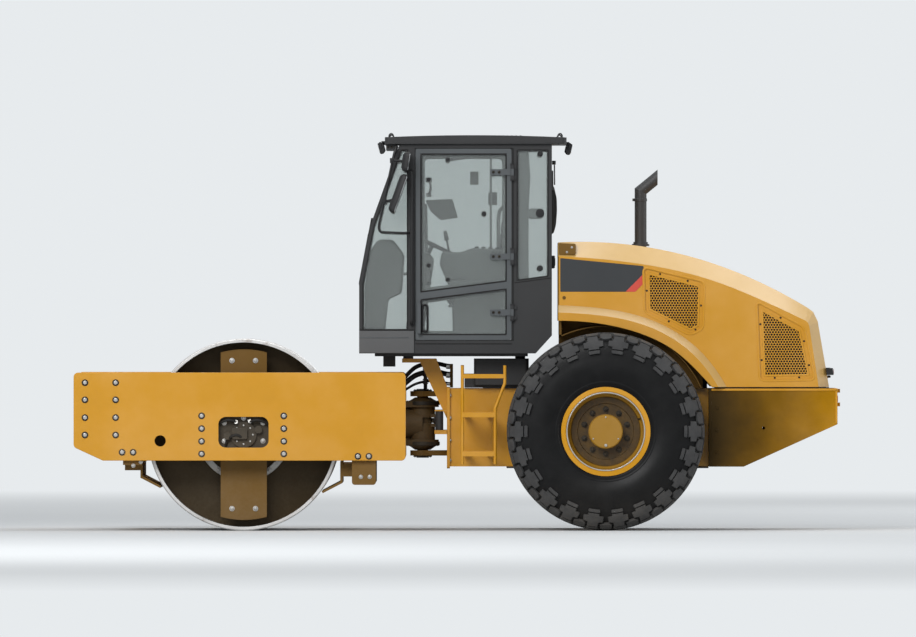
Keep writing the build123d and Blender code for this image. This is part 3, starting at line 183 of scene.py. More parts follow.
def weathering_group():
    """Dust that lies low down and on top faces, chips along edges, and slow patches of fading."""
    shader, given, result = new_group(
        "weathering",
        [
            ("Color", COLOUR, (0.5, 0.5, 0.5, 1)),
            ("Under Color", COLOUR, (0.1, 0.08, 0.06, 1)),
            ("Dust Color", COLOUR, (0.42, 0.34, 0.24, 1)),
            ("Dust", FLOAT, 0.3),
            ("Chips", FLOAT, 0.3),
            ("Roughness", FLOAT, 0.4),
            ("Reach", FLOAT, 1.1),
        ],
        [("Color", COLOUR), ("Roughness", FLOAT), ("Chip Mask", FLOAT)],
    )
    here = shader.place()
    patches = shader.noise(here, 2.3, 5.0)
    specks = shader.noise(here, 46.0, 3.0, 0.7)
    height = shader.math("DIVIDE", shader.apart(here)["Z"], given["Reach"])
    low = shader.spread(height, 0.1, 1.0, 1.0, 0.0)
    upward = shader.spread(shader.apart(shader.place("Normal"))["Z"], 0.6, 1.0, 0.0, 0.55)
    lying = shader.math("MAXIMUM", low, upward)
    uneven = shader.spread(shader.math("ADD", patches, shader.math("MULTIPLY", specks, 0.5)), 0.55, 1.0)
    dust = shader.math("MULTIPLY", shader.math("MULTIPLY", lying, uneven), given["Dust"], True)
    # Chips sit where a rounded edge turns away from its face.
    rounded = shader.fill(shader.node("ShaderNodeBevel", samples=4), Radius=0.006)
    turn = shader.node("ShaderNodeVectorMath", operation="DOT_PRODUCT")
    shader.join(rounded.outputs[0], turn.inputs[0])
    shader.join(shader.node("ShaderNodeNewGeometry").outputs["Normal"], turn.inputs[1])
    edge = shader.spread(turn.outputs["Value"], 0.995, 0.85)
    flakes = shader.spread(shader.noise(here, 28.0, 6.0, 0.65), 0.52, 0.6)
    chips = shader.math("MULTIPLY", shader.math("MULTIPLY", edge, flakes), given["Chips"], True)
    faded = shader.fill(
        shader.node("ShaderNodeHueSaturation"),
        Color=given["Color"],
        Value=shader.spread(patches, 0.3, 0.75, 0.93, 1.06),
        Saturation=shader.spread(patches, 0.3, 0.75, 1.03, 0.96),
    )
    dusty = shader.mix(dust, faded.outputs["Color"], given["Dust Color"])
    chipped = shader.mix(chips, dusty, given["Under Color"])
    rough = shader.math("ADD", given["Roughness"], shader.math("MULTIPLY", dust, 0.35), True)
    rough = shader.math("ADD", rough, shader.spread(specks, 0.3, 0.7, -0.03, 0.05), True)
    shader.fill(result, Color=chipped, Roughness=rough, Chip_Mask=chips)
    return shader.tree


def relief_group():
    """Fine surface relief: a grain and a slow waviness, on edges that are slightly rounded."""
    shader, given, result = new_group(
        "relief",
        [
            ("Grain Scale", FLOAT, 300.0),
            ("Grain", FLOAT, 0.2),
            ("Wave", FLOAT, 0.1),
            ("Edge Radius", FLOAT, 0.004),
        ],
        [("Normal", "NodeSocketVector")],
    )
    here = shader.place()
    rounded = shader.fill(shader.node("ShaderNodeBevel", samples=4), Radius=given["Edge Radius"])
    grain = shader.math("MULTIPLY", shader.noise(here, given["Grain Scale"], 2.0), given["Grain"])
    wave = shader.math("MULTIPLY", shader.noise(here, 5.0, 2.0), given["Wave"])
    bump = shader.relief(shader.math("ADD", grain, wave), 0.002, Strength=1.0, Normal=rounded.outputs[0])
    shader.fill(result, Normal=bump)
    return shader.tree


def ring_group():
    """How far a point lies from an axle that runs along Y."""
    shader, given, result = new_group(
        "distance_from_axle", [("Axle X", FLOAT, 0.0), ("Axle Z", FLOAT, 0.8)], [("Radius", FLOAT)]
    )
    parts = shader.apart(shader.place())
    along = shader.math("SUBTRACT", parts["X"], given["Axle X"])
    above = shader.math("SUBTRACT", parts["Z"], given["Axle Z"])
    squares = shader.math("ADD", shader.math("MULTIPLY", along, along), shader.math("MULTIPLY", above, above))
    shader.fill(result, Radius=shader.math("SQRT", squares))
    return shader.tree


WEATHERING = weathering_group()
RELIEF = relief_group()
AXLE_DISTANCE = ring_group()


def place_group(shader, tree, **values):
    """A group in a material, with its input values."""
    return shader.fill(shader.node("ShaderNodeGroup", node_tree=tree), **values).outputs


def from_axle(shader, axis):
    """How far a point lies from the drum's or the wheels' axle."""
    return place_group(shader, AXLE_DISTANCE, Axle_X=axis.x, Axle_Z=axis.z)["Radius"]


def new_material(name):
    material = bpy.data.materials.new(name)
    material.use_nodes = True
    shader = Shader(material.node_tree)
    surface = material.node_tree.nodes["Principled BSDF"]
    return material, shader, surface


def weathered(
    name, colour, under, roughness, metallic=0.0, coat=0.0, gloss=0.4, dust=0.3, chips=0.4, reach=1.1, **relief
):
    """A finish with dust, chips and relief. Its colour may be a plain one or a function of the shader."""
    material, shader, surface = new_material(name)
    base = colour(shader) if callable(colour) else colour
    wear = {"Under_Color": under, "Dust": dust, "Chips": chips, "Roughness": roughness, "Reach": reach}
    worn = place_group(shader, WEATHERING, Color=base, **wear)
    relief = {"Grain_Scale": 260.0, "Grain": 0.12, "Wave": 0.05, "Edge_Radius": 0.004, **relief}
    shader.fill(
        surface,
        Metallic=metallic,
        Coat_Weight=coat,
        Coat_Roughness=0.22,
        Specular_IOR_Level=gloss,
        Base_Color=worn["Color"],
        Roughness=worn["Roughness"],
        Normal=place_group(shader, RELIEF, **relief)["Normal"],
    )
    return material


def drum_colour(shader):
    """Bright rolled steel with rust patches outside and on the rim; in the recess dark primer, darkened further by
    painted shade.
    """
    here = shader.place()
    stretched = shader.node("ShaderNodeMapping")
    stretched.inputs["Scale"].default_value = (1.0, 40.0, 1.0)
    shader.join(here, stretched.inputs["Vector"])
    streaks = shader.noise(stretched.outputs[0], 4.0, 6.0)
    steel = shader.mix(shader.spread(streaks, 0.35, 0.65), (0.55, 0.54, 0.53), (0.70, 0.69, 0.68))
    rust = shader.spread(shader.noise(here, 7.0, 8.0, 0.7), 0.56, 0.66)
    steel = shader.mix(shader.math("MULTIPLY", rust, 0.5), steel, (0.16, 0.09, 0.05))
    # The recess's dark brown is partly primer and partly painted shade.
    inside = shader.spread(from_axle(shader, drum_axis), 0.7385, 0.7365)
    return shader.mix(inside, steel, (0.038, 0.022, 0.005))


def wheel_colour(shader):
    """Yellow rim whose recess round the hub is dark with dirt and shade."""
    radius = from_axle(shader, wheel_axis)
    recess = shader.math("MULTIPLY", shader.spread(radius, 0.134, 0.142), shader.spread(radius, 0.284, 0.276))
    grime = shader.noise(shader.place(), 14.0, 6.0)
    depth = shader.math("MULTIPLY", recess, shader.spread(grime, 0.3, 0.7, 0.80, 1.0))
    rim = shader.mix(shader.spread(radius, 0.32, 0.30), YELLOW, (0.36, 0.185, 0.018))
    return shader.mix(depth, rim, (0.048, 0.027, 0.006))


def hood_colour(shader):
    """Yellow paint with a painted highlight, a paler cream, along the sloping shoulders, the arch's lip and the
    rear corners.
    """
    normal = shader.apart(shader.place("Normal"))
    across = shader.math("ABSOLUTE", normal["Y"])
    painted_highlight = shader.math("MULTIPLY", shader.spread(across, 0.96, 0.88), shader.spread(across, 0.15, 0.45))
    painted_highlight = shader.math("MULTIPLY", painted_highlight, shader.spread(normal["Z"], -0.3, -0.1))
    # The paler cream on faces that tilt sideways and upwards is a painted highlight.
    return shader.mix(painted_highlight, YELLOW, (0.60, 0.37, 0.110))


def tail_colour(shader):
    """Yellow paint darkened by painted shade near the rear tyres, less and less towards the tail."""
    streaks = shader.spread(shader.noise(shader.place(), 3.0, 6.0), 0.3, 0.7, -0.10, 0.10)
    reach = shader.math("ADD", from_axle(shader, wheel_axis), streaks)
    # Painted shade: dark brown close to the tyres, the plain yellow further off.
    out_of_painted_shade = shader.math("POWER", shader.spread(reach, 0.85, 1.95), 1.6)
    return shader.mix(out_of_painted_shade, (0.040, 0.022, 0.003), (0.54, 0.255, 0.010))


def rubber_bloom(shader):
    """Slow patches of bloom on a tyre."""
    return shader.spread(shader.noise(shader.place(), 9.0, 5.0), 0.35, 0.7)


def wall_colour(shader):
    """Black rubber of a tyre's wall and grooves, with a slight bloom."""
    return shader.mix(rubber_bloom(shader), (0.0045, 0.0045, 0.0047), (0.008, 0.008, 0.0083))


def lug_colour(shader):
    """Greyer rubber of the lugs, palest where they meet the ground."""
    rubbed = shader.spread(from_axle(shader, wheel_axis), tyre_radius - 0.03, tyre_radius - 0.002)
    grey = shader.mix(rubber_bloom(shader), (0.040, 0.040, 0.041), (0.062, 0.061, 0.061))
    return shader.mix(shader.math("MULTIPLY", rubbed, 0.5), grey, (0.085, 0.083, 0.080))


YELLOW = (0.64, 0.297, 0.009)
PRIMER = (0.16, 0.11, 0.07)
GREY = (0.2, 0.2, 0.2)
PALE = (0.1, 0.1, 0.1)
# How whole families of finishes have aged
YELLOW_WEAR = {"gloss": 0.3, "chips": 0.3, "reach": 0.9}
CAB_WEAR = {"gloss": 0.3, "dust": 0.06, "chips": 0.2}
FILM_WEAR = {"gloss": 0.3, "dust": 0.06, "chips": 0.0}
TYRE_WEAR = {"gloss": 0.16, "dust": 0.03, "chips": 0.2, "reach": 0.5}

finish = {
    "yellow": weathered("yellow_paint", YELLOW, PRIMER, 0.42, coat=0.5, dust=0.08, **YELLOW_WEAR),
    "hood": weathered("hood_paint", hood_colour, PRIMER, 0.42, coat=0.9, dust=0.06, **YELLOW_WEAR),
    "tail": weathered("tail_paint", tail_colour, PRIMER, 0.6, coat=0.05, gloss=0.1, dust=0.02, reach=0.9),
    # Darker still: painted shade for the yellow hitch casting deep under the cab; the grey under it shows at
    # chips.
    "casting": weathered(
        "casting_painted_shade", (0.075, 0.042, 0.010), (0.16, 0.14, 0.12), 0.6, gloss=0.3, dust=0.25, chips=0.5, Grain=0.7
    ),
    # Dark brown that stands for the yellow paint in shadow: painted shade on the drive bars, scrapers, hitch ears,
    # arches and other parts that sit in shade.
    "shaded": weathered(
        "shaded_paint", (0.17, 0.090, 0.018), (0.05, 0.04, 0.03), 0.6, gloss=0.2, dust=0.14, chips=0.5
    ),
    "charcoal": weathered(
        "charcoal_paint", (0.035, 0.035, 0.036), (0.14, 0.14, 0.14), 0.45, gloss=0.25, dust=0.06, chips=0.2
    ),
    "frame_grey": weathered("door_paint", (0.085, 0.093, 0.098), GREY, 0.42, **CAB_WEAR),
    "skirt_grey": weathered("skirt_paint", (0.105, 0.106, 0.108), GREY, 0.42, **CAB_WEAR),
    "drum": weathered(
        "drum_steel", drum_colour, (0.5, 0.48, 0.45), 0.38, metallic=0.5, dust=0.1, chips=0.5, Grain_Scale=90.0
    ),
    "wheel": weathered("wheel_paint", wheel_colour, PRIMER, 0.45, coat=0.3, gloss=0.2, dust=0.03, reach=0.7),
    "tyre": weathered("tyre_rubber", wall_colour, (0.04,) * 3, 0.36, **TYRE_WEAR, Grain=0.25, Wave=0.1),
    "lug": weathered(
        "tread_rubber", lug_colour, (0.03,) * 3, 0.72, gloss=0.3, dust=0.1, chips=0.3, reach=0.5, Grain=0.6
    ),
    "rubber": weathered("black_rubber", (0.009,) * 3, (0.03,) * 3, 0.6, gloss=0.3, dust=0.12, Grain=0.3),
    "plastic": weathered(
        "black_plastic", (0.016, 0.016, 0.017), (0.05,) * 3, 0.5, gloss=0.3, dust=0.1, Grain=0.4
    ),
    "iron": weathered("cast_iron", (0.042, 0.033, 0.022), (0.25, 0.22, 0.2), 0.6, metallic=0.3, Grain=0.8),
    "stack": weathered(
        "stack_steel",
        (0.045, 0.045, 0.046),
        (0.12, 0.11, 0.10),
        0.5,
        metallic=0.2,
        dust=0.05,
        chips=0.2,
        Grain=0.4,
    ),
    "zinc": weathered("zinc_bolts", (0.46, 0.45, 0.43), (0.2, 0.12, 0.07), 0.34, metallic=0.85, dust=0.2),
    "black_bolt": weathered("black_bolts", (0.020, 0.016, 0.011), (0.2, 0.15, 0.1), 0.5, metallic=0.2, gloss=0.3),
    "decal": weathered("dark_panel", (0.042, 0.045, 0.048), PALE, 0.35, **FILM_WEAR),
    "stripe": weathered("red_stripe", (0.66, 0.085, 0.060), PALE, 0.35, **FILM_WEAR),
    "lining": weathered(
        "grey_lining", (0.10, 0.105, 0.105), PALE, 0.8, gloss=0.2, dust=0.0, chips=0.0, Grain=0.0
    ),
}


def glass_finish(name, tint, roughness, clarity):
    """Tinted safety glass that lets daylight through to what is behind it."""
    material, shader, surface = new_material(name)
    film = shader.spread(shader.noise(shader.place(), 6.0, 5.0), 0.4, 0.75, roughness, roughness + 0.01)
    shader.fill(surface, Base_Color=tint, Transmission_Weight=clarity, IOR=1.45, Roughness=film)
    shade = tuple(0.75 * value for value in tint)
    shaded = shader.fill(shader.node("ShaderNodeBsdfTransparent"), Color=shade)
    rays = shader.node("ShaderNodeLightPath")
    shader.choose(rays.outputs["Is Shadow Ray"], surface.outputs[0], shaded.outputs[0])
    return material


def cloth_finish():
    """Dark woven seat cloth."""
    material, shader, surface = new_material("seat_cloth")
    weave = shader.math("MULTIPLY", shader.waves(180.0, "X"), shader.waves(180.0, "Y"))
    colour = shader.mix(weave, (0.018, 0.018, 0.022), (0.06, 0.06, 0.07))
    shader.fill(surface, Base_Color=colour, Roughness=0.9, Normal=shader.relief(weave, 0.001))
    return material


def bare_metal(name, scale, detail, dark, bright, rough):
    """Mirror glass or a chromed rod, with its smears or fine lines."""
    material, shader, surface = new_material(name)
    marks = shader.noise(shader.place(), scale, detail)
    colour = shader.mix(marks, dark, bright)
    shader.fill(surface, Base_Color=colour, Roughness=shader.spread(marks, *rough), Metallic=1.0)
    return material


def lens_finish(name, tint):
    """A moulded lamp lens with fine ribs."""
    material, shader, surface = new_material(name)
    ribs = shader.waves(60.0, "Y")
    colour = shader.mix(ribs, tuple(0.75 * value for value in tint), tint)
    shader.fill(surface, Base_Color=colour, Roughness=0.12, Coat_Weight=0.6, Normal=shader.relief(ribs, 0.001))
    return material


finish["glass"] = glass_finish("tinted_glass", (0.66, 0.70, 0.69), 0.01, 0.90)
finish["cloth"] = cloth_finish()
finish["mirror"] = bare_metal(
    "mirror_glass", 20.0, 5.0, (0.80, 0.82, 0.83), (0.88, 0.89, 0.90), (0.3, 0.8, 0.02, 0.12)
)
finish["chrome"] = bare_metal(
    "chrome_rod", 60.0, 6.0, (0.72, 0.72, 0.73), (0.86, 0.86, 0.87), (0.3, 0.7, 0.05, 0.22)
)
finish["clear_lens"] = lens_finish("clear_lens", (0.75, 0.77, 0.78))
finish["red_lens"] = lens_finish("red_lens", (0.45, 0.03, 0.02))

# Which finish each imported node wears
NODE_FINISH = {
    "yellow": "side_plate_left side_plate_right front_beam rear_beam bulkhead rails cab_support ladders",
    "hood": "hood_shell",
    "tail": "tail_cross tail_sides tail_pan",
    "casting": "hitch_casting",
    "shaded": "hitch_ears scraper_front scraper_rear drive_bars belly_plate axle_housing wheel_arches firewall",
    "charcoal": "cab_cradle cab_side_left cab_side_right cab_rear cab_floor cab_roof hinge_posts "
    "steer_barrel_left steer_barrel_right",
    "skirt_grey": "cab_front",
    "frame_grey": "door_left door_right",
    "iron": "drum_motors engine_block radiator",
    "drum": "drum",
    "rubber": "isolators",
    "wheel": "rim_left rim_right",
    "chrome": "steer_rod_left steer_rod_right",
    "glass": "windscreen side_glass rear_glass door_glass_left door_glass_right",
    "plastic": "console grab_rails mirrors tail_lamps",
    "stack": "exhaust",
    "tyre": "tyre_left tyre_right",
    "cloth": "seat",
    "clear_lens": "lamps",
}
for finish_name, listed in NODE_FINISH.items():
    for node_name in listed.split():
        node = nodes[node_name]
        node.data.materials.clear()
        node.data.materials.append(finish[finish_name])


# Ways of making pieces


def finish_piece(piece, finish_name, body, smooth=35, bevel=0.0):
    """Gives a made object its finish, soft edges and shading, and sets it on its body."""
    piece.data.materials.clear()
    piece.data.materials.append(finish[finish_name])
    if bevel:
        rounding = piece.modifiers.new("rounding", "BEVEL")
        rounding.width = bevel
        rounding.segments = 2
        rounding.limit_method = "ANGLE"
        rounding.angle_limit = math.radians(40)
    if smooth and piece.type == "MESH":
        for face in piece.data.polygons:
            face.use_smooth = True
        piece.data.set_sharp_from_angle(angle=math.radians(smooth))
    if body:
        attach(piece, body)
    return piece


def piece_from(name, shape, finish_name, body, smooth=35, bevel=0.0):
    """Turns a bmesh into a finished piece."""
    bmesh.ops.recalc_face_normals(shape, faces=shape.faces)
    mesh = bpy.data.meshes.new(name)
    shape.to_mesh(mesh)
    shape.free()
    piece = bpy.data.objects.new(name, mesh)
    bpy.context.scene.collection.objects.link(piece)
    return finish_piece(piece, finish_name, body, smooth, bevel)


def facing(direction, spot=(0, 0, 0)):
    """A placement whose own Z points along a direction."""
    turn = Vector(direction).normalized().to_track_quat("Z", "Y").to_matrix().to_4x4()
    return Matrix.Translation(Vector(spot)) @ turn


def add_block(shape, centre, size, turn=None):
    """Adds a box with its own centre, size and turn."""
    placement = Matrix.Translation(Vector(centre)) @ (turn or Matrix.Identity(4))
    placement = placement @ Matrix.Diagonal((*size, 1))
    bmesh.ops.create_cube(shape, size=1.0, matrix=placement)


def add_rod(shape, spot, direction, radius, length, sides=24, top=None):
    """Adds a round bar or cone that starts at a spot and runs along a direction."""
    placement = facing(direction, Vector(spot) + Vector(direction).normalized() * length / 2)
    bmesh.ops.create_cone(
        shape,
        cap_ends=True,
        segments=sides,
        radius1=radius,
        radius2=radius if top is None else top,
        depth=length,
        matrix=placement,
    )


def join_rings(shape, rings, closed=True):
    """Adds the faces between rings of points, and from the last ring to the first when closed."""
    pairs = list(zip(rings, rings[1:] + (rings[:1] if closed else [])))
    count = len(rings[0])
    for index in range(count):
        after = (index + 1) % count
        for one, two in pairs:
            shape.faces.new((one[index], one[after], two[after], two[index]))


def add_prism(shape, outline, low, high, place):
    """Adds a plate with a flat outline between two depths; place turns (u, v, depth) into a point."""
    rings = [[shape.verts.new(place(u, v, depth)) for u, v in outline] for depth in (low, high)]
    join_rings(shape, rings, False)
    shape.faces.new(rings[0])
    shape.faces.new(rings[1])


def moved_outline(outline, distance):
    """The same closed outline, moved outwards by a distance (inwards when negative)."""
    area = sum(a[0] * b[1] - b[0] * a[1] for a, b in zip(outline, outline[1:] + outline[:1]))
    turn = 1 if area > 0 else -1
    moved = []
    for before, here, after in zip(outline[-1:] + outline[:-1], outline, outline[1:] + outline[:1]):
        first = Vector((here[0] - before[0], here[1] - before[1])).normalized()
        second = Vector((after[0] - here[0], after[1] - here[1])).normalized()
        normals = [Vector((edge.y, -edge.x)) * turn for edge in (first, second)]
        corner = (normals[0] + normals[1]).normalized()
        reach = distance / max(corner.dot(normals[0]), 0.35)
        moved.append((here[0] + corner.x * reach, here[1] + corner.y * reach))
    return moved


def rounded_outline(outline, radius, steps=4):
    """A closed outline with its corners cut round."""
    points = []
    for before, here, after in zip(outline[-1:] + outline[:-1], outline, outline[1:] + outline[:1]):
        corner = Vector(here)
        back = Vector(before) - corner
        ahead = Vector(after) - corner
        cut = min(radius, back.length * 0.45, ahead.length * 0.45)
        start = corner + back.normalized() * cut
        end = corner + ahead.normalized() * cut
        for step in range(steps + 1):
            share = step / steps
            bend = start.lerp(corner, share).lerp(corner.lerp(end, share), share)
            points.append((bend.x, bend.y))
    return points


def rectangle(low_u, low_v, high_u, high_v):
    return [(low_u, low_v), (low_u, high_v), (high_u, high_v), (high_u, low_v)]


def circle_of(centre, radius, count, start=0.0):
    """Evenly spaced flat points round a centre."""
    angles = [start + math.tau * index / count for index in range(count)]
    return [(centre[0] + radius * math.cos(angle), centre[1] + radius * math.sin(angle)) for angle in angles]


def add_ring_plate(shape, outline, inner, outer, low, high, place):
    """Adds a flat band along a closed outline, from an inner to an outer offset."""
    corners = ((inner, low), (outer, low), (outer, high), (inner, high))
    rings = [
        [shape.verts.new(place(u, v, depth)) for u, v in moved_outline(outline, offset)]
        for offset, depth in corners
    ]
    join_rings(shape, rings)


def on_side(side):
    """Turns (along, up, out) into a point on the machine's left or right side."""
    return lambda along, up, out: Vector((along, side * out, up))


def across_machine(along, up, across):
    """A point of a plate that stands upright along the machine."""
    return Vector((along, across, up))


def flat_on_top(along, across, up):
    """A point of a plate that lies flat."""
    return Vector((along, across, up))


def block_piece(name, blocks, finish_name, body, smooth=35, bevel=0.0):
    """A piece of plain blocks, each a centre and a size and sometimes a turn."""
    shape = bmesh.new()
    for block in blocks:
        add_block(shape, *block)
    return piece_from(name, shape, finish_name, body, smooth, bevel)


def plate_piece(name, outline, low, high, place, finish_name, body, smooth=35, bevel=0.0):
    """A piece of one flat plate."""
    shape = bmesh.new()
    add_prism(shape, outline, low, high, place)
    return piece_from(name, shape, finish_name, body, smooth, bevel)


def add_bolt(shape, spot, direction, size=0.016, washer=True):
    """Adds one hexagon head with its washer."""
    out = Vector(direction).normalized()
    base = Vector(spot)
    if washer:
        add_rod(shape, base, out, size * 1.55, size * 0.22, 20)
        base = base + out * size * 0.22
    add_rod(shape, base, out, size, size * 0.62, 6)
    add_rod(shape, base + out * size * 0.62, out, size * 0.86, size * 0.12, 12, size * 0.7)


def bolt_set(name, spots, direction, body, size=0.016, finish_name="zinc", washer=True):
    """One piece of many bolts that point the same way."""
    shape = bmesh.new()
    for spot in spots:
        add_bolt(shape, spot, direction, size, washer)
    return piece_from(name, shape, finish_name, body, smooth=25)


def side_bolts(name, side, word, spots, out, body, size=0.016, finish_name="zinc", washer=True):
    """Bolts that point out of one side of the machine; spots are (along, up)."""
    places = [(along, side * out, height) for along, height in spots]
    bolt_set(f"{name}_{word}", places, (0, side, 0), body, size, finish_name, washer)


def add_bent_bar(shape, spots, radius, overlap, sides):
    """Adds a round bar in straight runs from spot to spot; overlap lengthens each run a little."""
    for start, end in zip(spots, spots[1:]):
        add_rod(shape, start, end - start, radius, (end - start).length * overlap, sides)


def tube_piece(name, points, radius, finish_name, body):
    """A bent tube or hose along smooth points, as a mesh."""
    line = bpy.data.curves.new(name + "_line", "CURVE")
    line.dimensions = "3D"
    line.bevel_depth = radius
    line.bevel_resolution = 4
    line.use_fill_caps = True
    spline = line.splines.new("NURBS")
    spline.points.add(len(points) - 1)
    for knot, point in zip(spline.points, points):
        knot.co = (*point, 1.0)
    spline.order_u = 3
    spline.use_endpoint_u = True
    spline.resolution_u = 8
    drawn = bpy.data.objects.new(name + "_line", line)
    mesh = bpy.data.meshes.new_from_object(drawn)
    mesh.name = name
    bpy.data.objects.remove(drawn)
    piece = bpy.data.objects.new(name, mesh)
    bpy.context.scene.collection.objects.link(piece)
    return finish_piece(piece, finish_name, body, smooth=60)


# Drum frame


def plate_bolts():
    """Beam bolts near both ends of a side plate, and the carrier's bolts beside its window, each on a wide black
    disc that stands as painted shadow.
    """
    rows = (1.183, 1.046, 0.904, 0.765)
    spots = [(plate_low.x + offset, height) for offset in (0.091, 0.336) for height in rows]
    spots += [(-2.684, 0.627), (-2.596, 0.627), (-0.800, 0.595), (-0.712, 0.595)]
    spots += [(along, height) for along in (-2.049, -1.392) for height in (0.918, 0.816, 0.715, 0.614)]
    washer = 0.003
    for side, word in SIDE_WORDS:
        shape = bmesh.new()
        for along, height in spots:
            add_rod(shape, (along, side * plate_face, height), (0, side, 0), 0.027, washer, 28)
        # Wide black discs under the bolt heads: painted shadow round each bolt.
        piece_from(f"plate_bolt_shadows_{word}", shape, "black_bolt", "front_frame", bevel=0.001)
        side_bolts("plate_bolts", side, word, spots, plate_face + washer, "front_frame", 0.0175, washer=False)


def window_motor():
    """Fittings of the drum motor that show through each window: flange bolts, ports and short hoses."""
    centre_x, centre_z = drum_axis.x, drum_axis.z + 0.02
    corners = ((-0.155, 0.075), (-0.155, -0.07), (0.155, 0.075), (0.155, -0.07), (0.0, 0.113))
    flange = [(centre_x + dx, centre_z + dz) for dx, dz in corners]
    cover = circle_of((drum_axis.x, drum_axis.z), 0.075, 8)
    flange_face, cover_face = 1.135, 1.155
    for side, word in SIDE_WORDS:
        side_bolts("motor_flange_bolts", side, word, flange, flange_face, "front_frame", 0.013)
        side_bolts("motor_cover_bolts", side, word, cover, cover_face, "front_frame", 0.008, washer=False)
        shape = bmesh.new()
        for dx, dz in ((-0.06, 0.075), (0.05, 0.082)):
            add_rod(shape, (centre_x + dx, side * 1.15, centre_z + dz), (0, side, 0.3), 0.017, 0.03, 6)
            add_rod(shape, (centre_x + dx, side * 1.165, centre_z + dz), (0, side, 0.2), 0.013, 0.022, 16)
        piece_from(f"motor_ports_{word}", shape, "zinc", "front_frame")
        for index, (dx, reach, drop) in enumerate(((-0.06, -0.17, 0.0), (0.05, 0.17, 0.0), (-0.02, -0.12, -0.12))):
            start = Vector((centre_x + dx, side * 1.178, centre_z + 0.08 + drop))
            route = [
                start,
                start + Vector((reach * 0.2, side * 0.012, 0.022)),
                start + Vector((reach * 0.6, side * 0.006, 0.012)),
                start + Vector((reach, -side * 0.03, -0.03)),
                start + Vector((reach * 1.02, -side * 0.05, -0.08)),
            ]
            tube_piece(f"motor_hose_{word}_{index}", route, 0.011, "rubber", "front_frame")


def drum_fittings():
    """Bolts of the drive bars, the ring round each drum head's middle, and its bolts."""
    _, bar_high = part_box("drive_bars")
    middle = (drum_axis.x, drum_axis.z)
    corners = [(drum_axis.x + dx, drum_axis.z + dz) for dx in (-0.094, 0.094) for dz in (-0.592, 0.592)]
    foot_face = drum_head_face + 0.012
    ring_face = drum_head_face + 0.016
    for side, word in SIDE_WORDS:
        side_bolts("drive_bar_bolts", side, word, corners, bar_high.y, "drum_body", 0.014)
        shape = bmesh.new()
        for corner in corners:
            foot = circle_of(corner, 0.062, 28)
            add_ring_plate(shape, foot, -0.008, 0.0, drum_head_face, foot_face, on_side(side))
        piece_from(f"isolator_feet_{word}", shape, "black_bolt", "drum_body")
        shape = bmesh.new()
        add_ring_plate(shape, circle_of(middle, 0.376, 72), -0.05, 0.0, drum_head_face, ring_face, on_side(side))
        piece_from(f"drum_head_ring_{word}", shape, "zinc", "drum_body", bevel=0.003)
        side_bolts("drum_head_bolts", side, word, circle_of(middle, 0.351, 20), ring_face, "drum_body", 0.013)


def scraper_trim():
    """Bolts of both scraper beams."""
    _, rear_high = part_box("scraper_rear")
    front = [(-2.595, 0.52), (-2.535, 0.55)]
    rear = [(rear_high.x - 0.12, 0.43), (rear_high.x - 0.05, 0.43)]
    for side, word in SIDE_WORDS:
        for name, spots in (("scraper_bolts", front), ("hanger_bolts", rear)):
            side_bolts(name, side, word, spots, 1.165, "front_frame", 0.011)


def beam_steps():
    """Raised tread buttons on the front beam, where the crew stands."""
    low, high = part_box("front_beam")
    shape = bmesh.new()
    for row in range(3):
        for place in range(34):
            along = low.x + 0.06 + row * 0.045
            across = -0.99 + place * 0.06 + (0.03 if row % 2 else 0.0)
            add_rod(shape, (along, across, high.z), UP, 0.011, 0.004, 10, 0.007)
    piece_from("beam_tread_buttons", shape, "yellow", "front_frame")


# Wheels

# How the tread runs from the tyre's middle over the shoulder: distance out, radius
TREAD_LINE = (
    (0.000, 0.792), (0.100, 0.7915), (0.170, 0.789), (0.213, 0.780), (0.246, 0.760),
    (0.270, 0.728), (0.286, 0.686), (0.294, 0.640), (0.2945, 0.600),
)
# How the wall runs on from there to the bead
WALL_LINE = [
    (0.2680, 0.610), (0.2720, 0.580), (0.2750, 0.545), (0.2755, 0.510), (0.2735, 0.476),
    (0.2680, 0.445), (0.2600, 0.418), (0.2550, 0.404), (0.2560, 0.398), (0.2540, 0.390),
    (0.2460, 0.380), (0.2370, 0.370), (0.2330, 0.3575), (0.2330, 0.3335),
]


def tread_point(reach, depth):
    """Out and radius of the tread at a distance along its line, sunk by a depth."""
    run = 0.0
    for (out_a, radius_a), (out_b, radius_b) in zip(TREAD_LINE, TREAD_LINE[1:]):
        length = math.hypot(out_b - out_a, radius_b - radius_a)
        if reach <= run + length or (out_b, radius_b) == TREAD_LINE[-1]:
            share = min((reach - run) / length, 1.0)
            out = out_a + (out_b - out_a) * share
            radius = radius_a + (radius_b - radius_a) * share
            across = Vector((radius_b - radius_a, -(out_b - out_a))).normalized()
            return out + across.x * depth, radius + across.y * depth
        run += length
    return TREAD_LINE[-1]


def add_lug(shape, centre, angle, side, stations, depth):
    """Adds one tread lug; stations are (distance along the tread line, half its width)."""
    columns = 4
    flare = 0.008
    layers = []
    for layer in (0, 1):
        rows = []
        for reach, half_width in stations:
            out, radius = tread_point(abs(reach), depth + flare if layer else 0.0)
            row = []
            for column in range(columns + 1):
                spread = (column / columns * 2 - 1) * (half_width + (flare if layer else 0.0))
                turn = angle + spread / tyre_radius
                along, up = radius * math.cos(turn), radius * math.sin(turn)
                across = side * math.copysign(out, reach)
                row.append(shape.verts.new((centre.x + along, centre.y + across, centre.z + up)))
            rows.append(row)
        layers.append(rows)
    top, foot = layers
    last = len(stations) - 1
    for index in range(last):
        here, ahead = top[index], top[index + 1]
        for column in range(columns):
            shape.faces.new((here[column], here[column + 1], ahead[column + 1], ahead[column]))
        for column in (0, columns):
            shape.faces.new((here[column], ahead[column], foot[index + 1][column], foot[index][column]))
    for index in (0, last):
        here, below = top[index], foot[index]
        for column in range(columns):
            shape.faces.new((here[column], here[column + 1], below[column + 1], below[column]))


LUG_DEPTH = 0.026
WALL_LUG_DEPTH = 0.012
